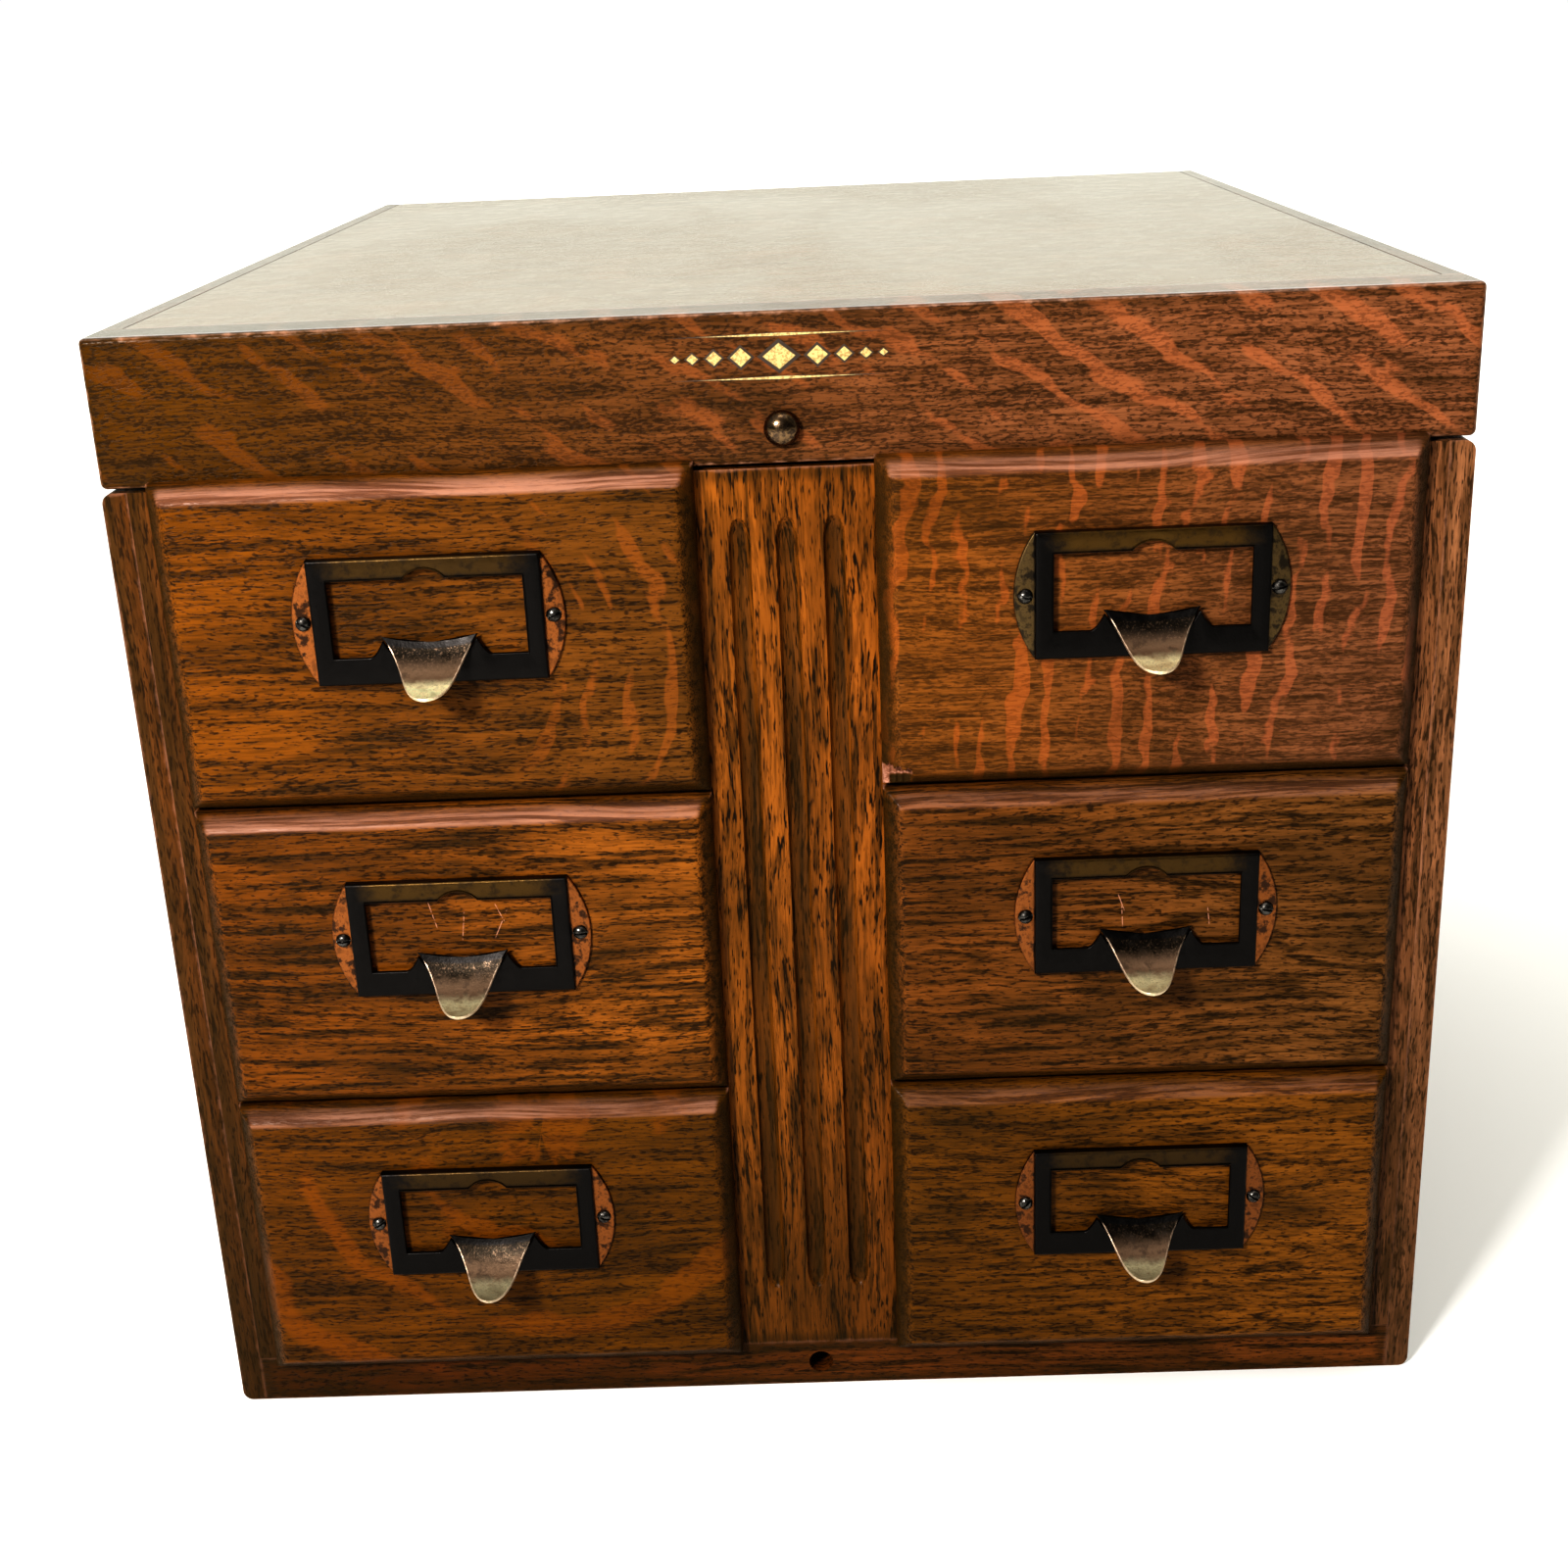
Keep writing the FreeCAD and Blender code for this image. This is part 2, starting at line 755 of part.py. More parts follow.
def make_pull_tongue(name, x, face, z):
    """The dished finger tongue: part of a thin ellipsoid shell, cut to a rounded plan."""
    shells = []
    for skin, growth in (("inner", "0"), ("outer", "pull_sheet")):
        shell = document.addObject("Part::Ellipsoid", f"{name}_{skin}_dish")
        bind(shell, "Radius1", f"tongue_curve + {growth}")
        bind(shell, "Radius2", f"tongue_dish + {growth}")
        bind(shell, "Radius3", f"tongue_curve + {growth}")
        place(shell, x, f"{face} - tongue_centre_reach", f"{z} + tongue_centre_rise")
        shells.append(shell)
    dish = cut(f"{name}_dish", shells[1], shells[0])
    root = "(pull_frame_rise - pull_sheet)"
    plan = document.addObject("Part::Wedge", f"{name}_plan")
    plan.Placement = Placement(Vector(0, 0, 0), Rotation(Vector(1, 0, 0), 90))
    bind(plan, "Xmin", "-tongue_root_width / 2")
    bind(plan, "Xmax", "tongue_root_width / 2")
    bind(plan, "Ymin", "0")
    bind(plan, "Ymax", "tongue_drop")
    bind(plan, "Zmin", "0")
    bind(plan, "Zmax", f"tongue_shoulder_reach - {root} + pull_frame_rise")
    bind(plan, "X2min", "-tongue_shoulder_width / 2")
    bind(plan, "X2max", "tongue_shoulder_width / 2")
    bind(plan, "Z2min", "0")
    bind(plan, "Z2max", f"tongue_shoulder_reach - {root} + pull_frame_rise")
    place(plan, x, f"{face} - {root}", f"{z} - tongue_drop - pull_sheet")
    tip = cylinder(
        f"{name}_tip",
        "tongue_tip_radius",
        "tongue_drop",
        x,
        f"{face} - tongue_reach + tongue_tip_radius",
        f"{z} - tongue_drop - pull_sheet",
    )
    return common(f"{name}_tongue", [dish, fuse(f"{name}_tongue_plan", [plan, tip])])


def make_screws(name, x, face, z):
    """The two slotted round-head screws that hold a pull."""
    screws = []
    for side, sign in (("left", "-"), ("right", "+")):
        stem = f"{name}_{side}_screw"
        centre = f"{x} {sign} screw_spacing / 2"
        dome = document.addObject("Part::Ellipsoid", f"{stem}_dome")
        bind(dome, "Radius1", "screw_head_radius * 0.75")
        bind(dome, "Radius2", "screw_head_radius")
        bind(dome, "Radius3", "screw_head_radius")
        dome.Angle1 = 0
        dome.Placement = Placement(Vector(0, 0, 0), TOWARDS_FRONT)
        place(dome, centre, f"{face} - pull_sheet", z)
        shank = cylinder(
            f"{stem}_shank",
            "screw_shank_radius",
            "screw_length",
            centre,
            f"{face} - pull_sheet",
            z,
            ALONG_Y,
        )
        slot = box(
            f"{stem}_slot",
            "2 * screw_head_radius",
            "screw_head_radius * 0.75",
            "screw_slot",
            f"{centre} - screw_head_radius",
            f"{face} - pull_sheet - screw_head_radius * 1.15",
            f"{z} - screw_slot / 2",
        )
        screws.append(cut(f"{stem}_solid", fuse(f"{stem}_blank", [dome, shank]), slot))
    return screws


def make_drawer(row, column):
    """One drawer: front, tray, follower block, pull and the pull's screws."""
    name = f"{row}_{column}"
    sign = COLUMNS[column]
    x = f"{sign} * {COLUMN_CENTRE}"
    z = f"({FRONT_BOTTOM} + {ROWS[row]} * row_pitch)"
    front = f"{name}_front"
    make_drawer_front(front, (x, FACE, z))
    make_drawer_box(name, x, z)
    make_follower(name, x, z)
    face = f"({FACE} - lip_thickness)"
    middle = f"({z} + pull_rise)"
    plate = make_pull_plate(f"{name}_pull", x, face, middle)
    tongue = make_pull_tongue(f"{name}_pull", x, face, middle)
    pull_solid = fuse(f"{name}_pull_solid", plate + [tongue])
    screws = make_screws(name, x, face, middle)
    keep(pull_solid, f"{name}_pull")
    keep(group(f"{name}_screw_pair", screws), f"{name}_pull_screws")


def check_document():
    """Stop unless every object and every sub-part is sound."""
    for item in document.Objects:
        faults = {"Invalid", "Error"} & set(item.State)
        if faults:
            raise RuntimeError(f"{item.Name} is {sorted(faults)}")
    for piece in subparts:
        if piece.Shape.isNull() or not piece.Shape.isValid() or not piece.Shape.Solids:
            raise RuntimeError(f"{piece.Label} has no sound solid")


def write_parts():
    """Write each sub-part to its own file."""
    os.makedirs("parts", exist_ok=True)
    for piece in subparts:
        piece.Shape.exportStep(f"parts/{piece.Label}.step")


make_sheet()
make_side_panels()
make_carcass()
make_centre_stile()
make_bottom()
make_cap()
make_locking_pin()
for row in ROWS:
    for column in COLUMNS:
        make_drawer(row, column)
document.recompute()
check_document()
write_parts()
print(f"{len(subparts)} sub-parts written")
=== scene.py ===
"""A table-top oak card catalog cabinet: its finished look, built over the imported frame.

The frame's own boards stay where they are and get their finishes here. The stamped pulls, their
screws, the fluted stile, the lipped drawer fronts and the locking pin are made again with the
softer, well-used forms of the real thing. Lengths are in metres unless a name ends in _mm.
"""

from __future__ import annotations

import json
import logging
import math
from dataclasses import dataclass, field, replace
from enum import Enum
from typing import Optional, Sequence, Union

import bpy
import bmesh
import numpy as np
from mathutils import Matrix, Vector

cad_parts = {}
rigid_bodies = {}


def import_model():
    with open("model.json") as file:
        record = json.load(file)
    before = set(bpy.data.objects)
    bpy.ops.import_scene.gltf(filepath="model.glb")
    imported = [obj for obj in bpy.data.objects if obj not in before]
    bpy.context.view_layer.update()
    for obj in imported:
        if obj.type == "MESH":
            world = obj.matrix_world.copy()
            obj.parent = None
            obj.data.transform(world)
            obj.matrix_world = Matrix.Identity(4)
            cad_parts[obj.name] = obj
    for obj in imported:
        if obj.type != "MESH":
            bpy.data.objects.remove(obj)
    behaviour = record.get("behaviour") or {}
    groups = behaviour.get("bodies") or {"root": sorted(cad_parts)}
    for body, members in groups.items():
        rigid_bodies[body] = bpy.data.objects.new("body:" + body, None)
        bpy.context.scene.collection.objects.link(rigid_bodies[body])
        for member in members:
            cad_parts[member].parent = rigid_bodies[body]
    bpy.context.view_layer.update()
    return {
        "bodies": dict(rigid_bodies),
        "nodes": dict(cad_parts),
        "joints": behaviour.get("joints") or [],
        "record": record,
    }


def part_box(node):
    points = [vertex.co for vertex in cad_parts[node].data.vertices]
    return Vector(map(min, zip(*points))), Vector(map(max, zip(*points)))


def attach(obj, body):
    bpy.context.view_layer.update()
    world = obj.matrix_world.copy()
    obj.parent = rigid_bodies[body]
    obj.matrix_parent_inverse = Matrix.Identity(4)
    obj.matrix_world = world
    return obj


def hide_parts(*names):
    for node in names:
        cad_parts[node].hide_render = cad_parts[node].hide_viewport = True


LOG = logging.getLogger("card_catalog")
MM = 0.001

Colour = tuple[float, float, float]
Triple = tuple[float, float, float]
Socket = bpy.types.NodeSocket
Feed = Union[Socket, float, Sequence[float]]


class Grain(Enum):
    """Which way a board's grain runs, as the turn that lays it along a pattern's first axis."""

    ACROSS = (0.0, 0.0, 0.0)
    UPRIGHT = (0.0, math.pi / 2, 0.0)
    FRONT_TO_BACK = (0.0, 0.0, -math.pi / 2)


class Figure(Enum):
    """How the medullary rays lie on a quarter-sawn face."""

    RIBBONS = "ribbons"
    ARCS = "arcs"


# ---------------------------------------------------------------------------------------------
# Surfaces
# ---------------------------------------------------------------------------------------------


def grid_faces(rows: int, columns: int, wrap_rows: bool = False, wrap_columns: bool = False) -> np.ndarray:
    """Four-cornered faces of a grid of points that are numbered row by row.

    Args:
        rows: How many rows of points there are.
        columns: How many points a row holds.
        wrap_rows: Whether the last row joins the first.
        wrap_columns: Whether each row's last point joins its first.

    Returns:
        One line of four point numbers for each face.
    """
    row = np.arange(rows if wrap_rows else rows - 1)
    column = np.arange(columns if wrap_columns else columns - 1)
    a, b = np.meshgrid(row, column, indexing="ij")
    below, beside = (a + 1) % rows, (b + 1) % columns
    corners = (a * columns + b, below * columns + b, below * columns + beside, a * columns + beside)
    return np.stack(corners, axis=-1).reshape(-1, 4)


def smooth_step(value: np.ndarray, low: float, high: float) -> np.ndarray:
    """Rises from 0 at low to 1 at high along 3t^2 - 2t^3, with t the share of the way."""
    t = np.clip((value - low) / (high - low), 0.0, 1.0)
    return t * t * (3.0 - 2.0 * t)


def spread_lines(half: float, edges: Sequence[float], step: float) -> np.ndarray:
    """Grid lines from -half to half, close together near both ends.

    Args:
        half: Half the length to cover.
        edges: Distances from either end that need a line of their own.
        step: The widest gap between lines in the middle.

    Returns:
        The lines in rising order.
    """
    near = half - np.asarray(edges)
    inner = float(near.min())
    count = max(2, int(math.ceil(2 * inner / step)) + 1)
    return np.unique(np.concatenate([-near, np.linspace(-inner, inner, count), near]).round(7))


class Shell:
    """The points and faces of one piece while it is being made."""

    def __init__(self) -> None:
        """Starts with nothing in it."""
        self.points: list[np.ndarray] = []
        self.faces: list[list[int]] = []
        self.marks: list[np.ndarray] = []
        self.count = 0

    def add(self, points: np.ndarray, faces: Sequence, mark: Optional[np.ndarray] = None) -> None:
        """Adds a patch of surface.

        Args:
            points: Its points, in any shape that ends in three coordinates.
            faces: Lists of point numbers that start from 0 within the patch.
            mark: One number for each point, which a finish can read, or None for zeros.
        """
        flat = np.asarray(points, float).reshape(-1, 3)
        self.points.append(flat)
        self.marks.append(np.zeros(len(flat)) if mark is None else np.asarray(mark, float).ravel())
        self.faces += [[int(i) + self.count for i in face] for face in faces]
        self.count += len(flat)

    def add_loops(self, loops: np.ndarray, mark: Optional[np.ndarray] = None) -> None:
        """Adds a tube whose rows are closed loops, and closes both of its ends with one face each."""
        rows, columns = loops.shape[:2]
        ends = [list(range(columns)), [(rows - 1) * columns + i for i in range(columns)]]
        self.add(loops, [*grid_faces(rows, columns, wrap_columns=True).tolist(), *ends], mark)

    def piece(self, name: str, sharp: float = 40.0) -> bpy.types.Object:
        """Closes the seams, turns every face outwards and links the piece to the scene.

        Args:
            name: The piece's name.
            sharp: Edges that turn by more than this many degrees stay crisp.

        Returns:
            The new object, at the origin, with its place in its mesh.
        """
        mesh = bpy.data.meshes.new(name)
        mesh.from_pydata(np.concatenate(self.points).tolist(), [], self.faces)
        mark = mesh.attributes.new("mark", "FLOAT", "POINT")
        mark.data.foreach_set("value", np.concatenate(self.marks).astype(np.float32))
        work = bmesh.new()
        work.from_mesh(mesh)
        bmesh.ops.remove_doubles(work, verts=work.verts, dist=2e-6)
        bmesh.ops.dissolve_degenerate(work, edges=work.edges, dist=1e-7)
        bmesh.ops.recalc_face_normals(work, faces=work.faces)
        work.to_mesh(mesh)
        work.free()
        mesh.polygons.foreach_set("use_smooth", np.ones(len(mesh.polygons), bool))
        mesh.set_sharp_from_angle(angle=math.radians(sharp))
        made = bpy.data.objects.new(name, mesh)
        bpy.context.scene.collection.objects.link(made)
        return made


def add_carved_board(
    shell: Shell,
    x: np.ndarray,
    z: np.ndarray,
    front: np.ndarray,
    back: float,
    mark: Optional[np.ndarray] = None,
) -> None:
    """Adds a board that stands in x and z: its front is a relief, its back and its edges are flat.

    The surface is the point (x, front(x, z), z) for each pair of grid lines.

    Args:
        shell: Where the board goes.
        x: Grid lines across, in rising order.
        z: Grid lines upwards, in rising order.
        front: The y of the front for each x and z, with x first.
        back: The y of the flat back.
        mark: A number for each point of the front, or None.
    """
    across, up = np.meshgrid(x, z, indexing="ij")
    face = np.stack([across, front, up], axis=-1)
    rear = np.stack([across, np.full_like(across, back), up], axis=-1)
    rows, columns = across.shape
    number = np.arange(rows * columns).reshape(rows, columns)
    rim = np.concatenate([number[:, 0], number[-1, 1:], number[-2::-1, -1], number[0, -2:0:-1]])
    following = np.roll(rim, -1)
    walls = np.stack([rim, following, following + rows * columns, rim + rows * columns], axis=-1)
    quads = grid_faces(rows, columns)
    both = None if mark is None else np.concatenate([mark.ravel(), np.zeros(rows * columns)])
    shell.add(np.stack([face, rear]), np.concatenate([quads, quads + rows * columns, walls]).tolist(), both)


def add_block(shell: Shell, low: Sequence[float], high: Sequence[float], arris: float) -> None:
    """Adds an eased rectangular block.

    Its section in x and z is a rectangle with its corners cut at 45 degrees, carried along y and
    drawn in by the arris at both ends.

    Args:
        shell: Where the block goes.
        low: Its lowest corner.
        high: Its highest corner.
        arris: How much is taken off each edge.
    """
    low, high = np.asarray(low, float), np.asarray(high, float)
    middle, half = (low + high) / 2, (high - low) / 2
    rings = []
    for y, inset in ((low[1], arris), (low[1] + arris, 0.0), (high[1] - arris, 0.0), (high[1], arris)):
        hx, hz = half[0] - inset, half[2] - inset
        cut = max(arris - inset, 0.0) + 1e-5
        corner_x = np.array([hx - cut, hx, hx, hx - cut, cut - hx, -hx, -hx, cut - hx])
        corner_z = np.array([-hz, cut - hz, hz - cut, hz, hz, hz - cut, cut - hz, -hz])
        rings.append(np.stack([middle[0] + corner_x, np.full(8, y), middle[2] + corner_z], axis=-1))
    shell.add_loops(np.stack(rings))


def add_turning(
    shell: Shell, middle: Sequence[float], radius: np.ndarray, reach: np.ndarray, around: int
) -> None:
    """Adds a turned shape: a profile of radii and reaches, spun about the line through middle along y.

    A point is middle + (r cos a, -reach, r sin a). Each end of the profile is closed.

    Args:
        shell: Where the shape goes.
        middle: The point on the axis that a reach of 0 is at.
        radius: The profile's distances from the axis.
        reach: The profile's distances in front of middle.
        around: How many points go round it.
    """
    angle = np.linspace(0, 2 * np.pi, around, endpoint=False)
    r, a = np.meshgrid(radius, angle, indexing="ij")
    out, _ = np.meshgrid(reach, angle, indexing="ij")
    spun = [middle[0] + r * np.cos(a), middle[1] - out, middle[2] + r * np.sin(a)]
    shell.add_loops(np.stack(spun, axis=-1))


# ---------------------------------------------------------------------------------------------
# Finishes
# ---------------------------------------------------------------------------------------------


class NodeTable:
    """Lays out shader nodes in one tree."""

    def __init__(self, tree: bpy.types.NodeTree) -> None:
        """Empties the tree."""
        self.tree = tree
        self.tree.nodes.clear()

    def node(self, kind: str, **settings: object) -> bpy.types.Node:
        """Adds a node of that kind and sets its properties."""
        made = self.tree.nodes.new(kind)
        for name, value in settings.items():
            setattr(made, name, value)
        return made

    def feed(self, socket: Socket, value: Feed) -> None:
        """Links a socket to another, or sets it to a plain value."""
        if isinstance(value, bpy.types.NodeSocket):
            self.tree.links.new(value, socket)
        else:
            socket.default_value = value

    def maths(self, operation: str, first: Feed, second: Feed = 0.0, clamp: bool = False) -> Socket:
        """One sum on two numbers."""
        made = self.node("ShaderNodeMath", operation=operation, use_clamp=clamp)
        self.feed(made.inputs[0], first)
        self.feed(made.inputs[1], second)
        return made.outputs[0]

    def times(self, first: Feed, second: Feed, clamp: bool = False) -> Socket:
        """The product of two numbers."""
        return self.maths("MULTIPLY", first, second, clamp)

    def plus(self, first: Feed, second: Feed, clamp: bool = False) -> Socket:
        """The sum of two numbers."""
        return self.maths("ADD", first, second, clamp)

    def minus(self, first: Feed, second: Feed) -> Socket:
        """The first number less the second."""
        return self.maths("SUBTRACT", first, second)

    def vectors(self, operation: str, first: Feed, second: Feed = (0.0, 0.0, 0.0)) -> bpy.types.Node:
        """One sum on two vectors. The node is returned, because some sums give a number."""
        made = self.node("ShaderNodeVectorMath", operation=operation)
        self.feed(made.inputs[0], first)
        self.feed(made.inputs[1], second)
        return made

    def parts(self, vector: Socket) -> list[Socket]:
        """The x, y and z of a vector."""
        made = self.node("ShaderNodeSeparateXYZ")
        self.feed(made.inputs[0], vector)
        return list(made.outputs)

    def joined(self, x: Feed, y: Feed, z: Feed) -> Socket:
        """A vector made of three numbers."""
        made = self.node("ShaderNodeCombineXYZ")
        for socket, value in zip(made.inputs, (x, y, z)):
            self.feed(socket, value)
        return made.outputs[0]

    def window(self, value: Socket, low: float, high: float, floor: float = 0.0, top: float = 1.0) -> Socket:
        """Eases from floor to top while the value goes from low to high."""
        made = self.node("ShaderNodeMapRange", interpolation_type="SMOOTHSTEP", clamp=True)
        self.feed(made.inputs["Value"], value)
        for name, number in (("From Min", low), ("From Max", high), ("To Min", floor), ("To Max", top)):
            made.inputs[name].default_value = number
        return made.outputs["Result"]

    def blend(self, share: Feed, first: Feed, second: Feed, mode: str = "MIX") -> Socket:
        """One colour over another, by that share."""
        made = self.node("ShaderNodeMix", data_type="RGBA", blend_type=mode)
        self.feed(made.inputs["Factor"], share)
        for socket, value in zip((made.inputs["A"], made.inputs["B"]), (first, second)):
            self.feed(socket, value if isinstance(value, bpy.types.NodeSocket) else (*value, 1.0))
        return made.outputs["Result"]


class FinishMixer(NodeTable):
    """Lays out the shader nodes of one finish."""

    def __init__(self, name: str) -> None:
        """Starts an empty material of that name."""
        self.material = bpy.data.materials.new(name)
        self.material.use_nodes = True
        super().__init__(self.material.node_tree)

    def placed(
        self, spot: Triple = (0.0, 0.0, 0.0), turn: Triple = (0.0, 0.0, 0.0), by: str = "TEXTURE"
    ) -> Socket:
        """The piece's own coordinates, seen from a spot and turned.

        Args:
            spot: The point, in metres, that becomes the pattern's origin.
            turn: The pattern's turn about x, y and z, in radians.
            by: TEXTURE moves the pattern; POINT moves the coordinates.

        Returns:
            The vector socket.
        """
        source = self.node("ShaderNodeTexCoord").outputs["Object"]
        mapping = self.node("ShaderNodeMapping", vector_type=by)
        self.feed(mapping.inputs["Vector"], source)
        self.feed(mapping.inputs["Location"], spot)
        self.feed(mapping.inputs["Rotation"], turn)
        return mapping.outputs[0]

    def noise(
        self, vector: Socket, stretch: Triple, detail: float = 2.0, rough: float = 0.5, warp: float = 0.0
    ) -> Socket:
        """Soft noise from about 0.3 to 0.7, with so many features a metre along each axis.

        Args:
            vector: The coordinates.
            stretch: Features in a metre along x, y and z.
            detail: How many finer layers it has.
            rough: How strong the finer layers are.
            warp: How far the noise bends itself.

        Returns:
            The number socket.
        """
        made = self.node("ShaderNodeTexNoise", noise_dimensions="3D")
        self.feed(made.inputs["Vector"], self.vectors("MULTIPLY", vector, stretch).outputs[0])
        made.inputs["Scale"].default_value = 1.7
        made.inputs["Detail"].default_value = detail
        made.inputs["Roughness"].default_value = rough
        made.inputs["Distortion"].default_value = warp
        return made.outputs["Fac"]

    def mark(self) -> Socket:
        """The number that the piece's maker left on its points."""
        return self.node("ShaderNodeAttribute", attribute_name="mark").outputs["Fac"]

    def bump(self, height: Socket, distance: float, strength: float = 1.0) -> Socket:
        """A relief of that many metres."""
        made = self.node("ShaderNodeBump")
        made.inputs["Strength"].default_value = strength
        made.inputs["Distance"].default_value = distance
        self.feed(made.inputs["Height"], height)
        return made.outputs[0]

    def finish(
        self, colour: Feed, rough: Feed, normal: Optional[Socket] = None, **fixed: float
    ) -> bpy.types.Material:
        """Ends the layout in one Principled shader.

        Args:
            colour: The base colour.
            rough: The roughness.
            normal: The relief, or None.
            fixed: The shader's other inputs by name, with _ for a space.

        Returns:
            The finished material.
        """
        shader = self.node("ShaderNodeBsdfPrincipled")
        output = self.node("ShaderNodeOutputMaterial")
        base = colour if isinstance(colour, bpy.types.NodeSocket) else (*colour, 1.0)
        self.feed(shader.inputs["Base Color"], base)
        self.feed(shader.inputs["Roughness"], rough)
        if normal is not None:
            self.feed(shader.inputs["Normal"], normal)
        for name, value in fixed.items():
            self.feed(shader.inputs[name.replace("_", " ")], value)
        self.tree.links.new(shader.outputs[0], output.inputs["Surface"])
        return self.material


@dataclass(frozen=True)
class Rays:
    """The light flakes that cross a quarter-sawn face. Places are measured from the board's middle."""

    figure: Figure = Figure.RIBBONS
    lean: float = 90.0
    spacing_mm: float = 12.0
    length_mm: float = 60.0
    cover: float = 0.4
    waver: float = 0.6
    strength: float = 0.55
    centre_mm: tuple[float, float] = (0.0, 0.0)
    starts_mm: float = -1000.0


@dataclass(frozen=True)
class Scratch:
    """A short pale scratch on a face that looks forwards."""

    x: float
    z: float
    lean: float
    length_mm: float
    width_mm: float = 0.45


@dataclass(frozen=True)
class Oak:
    """Fumed, varnished quarter-sawn oak on one board."""

    name: str
    grain: Grain = Grain.ACROSS
    seed: float = 0.0
    left_tone: Colour = (0.135, 0.043, 0.007)
    right_tone: Colour = (0.135, 0.043, 0.007)
    dark: Colour = (0.023, 0.0098, 0.0006)
    pore: Colour = (0.008, 0.0035, 0.0006)
    ray_gain: Colour = (1.6, 1.3, 1.4)
    # Dark tone for stains and the darkening near edges, and for painted shade: the negative mark and the
    # darkening towards the foot.
    smudge_and_shade: Colour = (0.018, 0.0095, 0.0012)
    # Pale tone for scratches and abraded edges, and for the painted highlight on the arrises.
    worn_and_highlight_tone: Colour = (0.42, 0.20, 0.13)
    streaks: float = 0.6
    streak_width_mm: float = 2.6
    streak_length_mm: float = 70.0
    fibre: float = 0.5
    pores: float = 0.8
    pore_length_mm: float = 5.0
    pore_width_mm: float = 0.55
    pore_cover: float = 0.62
    smudges: float = 0.35
    rays: Optional[Rays] = None
    scratches: tuple[Scratch, ...] = ()
    # How strong the pale edge band is: partly abraded finish, partly a painted highlight on the arrises.
    edge_wear_and_highlight: float = 0.5
    edge_wear_and_highlight_width_mm: float = 1.1
    # How dark the ragged band along every edge of the board is.
    edge_dark: float = 0.4
    edge_dark_width_mm: float = 4.0
    rough: float = 0.36
    specular: float = 0.07
    gloss: float = 0.0
    gloss_depth_mm: float = 1.0
    relief_mm: float = 0.12
    foot_shade: float = 0.0

    def grain_axes(self, mixer: FinishMixer) -> Socket:
        """The board's coordinates with its grain along x, moved by the seed so that no two boards match."""
        moved = tuple(share * self.seed for share in (0.37, 0.73, 0.51))
        turned = mixer.placed(moved, self.grain.value, "POINT")
        drift = mixer.noise(turned, (5.0, 14.0, 14.0), 1.0)
        shift = mixer.times(mixer.minus(drift, 0.5), 0.010)
        return mixer.vectors("ADD", turned, mixer.joined(0.0, shift, shift)).outputs[0]

    def ray_mask(self, mixer: FinishMixer, low: Vector, high: Vector) -> Socket:
        """Where the flakes show on the board from low to high: 1 on a flake, 0 off it.

        Stripes sin(2 pi u / spacing + bend) are bent by soft noise, where u runs across the ribbons or,
        for arcs, out from their centre. A second noise swells them and lets them die away.
        """
        rays = self.rays
        middle = (low + high) / 2
        across, along = 1000.0 / rays.spacing_mm, 1000.0 / rays.length_mm
        if rays.figure is Figure.ARCS:
            aside, above = (distance * MM for distance in rays.centre_mm)
            spot = (middle.x + aside, low.y, middle.z + above)
            x, y, z = mixer.parts(mixer.placed(spot))
            reach = mixer.maths("SQRT", mixer.plus(mixer.times(x, x), mixer.times(z, z)))
            sweep = mixer.times(mixer.maths("ARCTAN2", z, x), 0.06)
            base = mixer.joined(reach, sweep, y)
        else:
            base = mixer.placed((0.0, 0.0, 0.0), (0.0, math.radians(rays.lean - 90.0), 0.0))
            x, y, z = mixer.parts(base)
            base = mixer.joined(x, z, y)
        flow = mixer.minus(mixer.noise(base, (26.0, 38.0, 20.0), 2.0), 0.5)
        bend = mixer.times(flow, 32.0 * rays.waver)
        phase = mixer.times(mixer.parts(base)[0], 2 * math.pi * across)
        stripe = mixer.maths("SINE", mixer.plus(phase, bend))
        moved = mixer.vectors("ADD", base, mixer.joined(0.0, 0.0, self.seed * 0.31)).outputs[0]
        swell = mixer.minus(mixer.noise(moved, (0.9 * across, along, 15.0), 2.0), 0.5)
        crest = mixer.plus(stripe, mixer.times(swell, 6.5))
        edge = 1.45 - 1.6 * rays.cover
        flake = mixer.window(crest, edge, edge + 0.5)
        x_here = mixer.parts(mixer.placed())[0]
        start = middle.x + rays.starts_mm * MM
        return mixer.times(flake, mixer.window(x_here, start, start + 0.03))

    def scratch_mask(self, mixer: FinishMixer) -> Socket:
        """Where the scratches are: each is a thin strip that a noise breaks up."""
        pale_share = mixer.window(mixer.noise(mixer.placed(), (500.0, 500.0, 500.0), 2.0), 0.38, 0.55)
        total: Feed = 0.0
        for scratch in self.scratches:
            turn = (0.0, math.radians(scratch.lean), 0.0)
            u, _, v = mixer.parts(mixer.placed((scratch.x, 0.0, scratch.z), turn))
            half, thin = scratch.length_mm * MM / 2, scratch.width_mm * MM / 2
            long = mixer.window(mixer.maths("ABSOLUTE", v), 0.7 * half, half, 1.0, 0.0)
            narrow = mixer.window(mixer.maths("ABSOLUTE", u), 0.4 * thin, thin, 1.0, 0.0)
            total = mixer.maths("MAXIMUM", total, mixer.times(long, narrow))
        return mixer.times(total, pale_share)

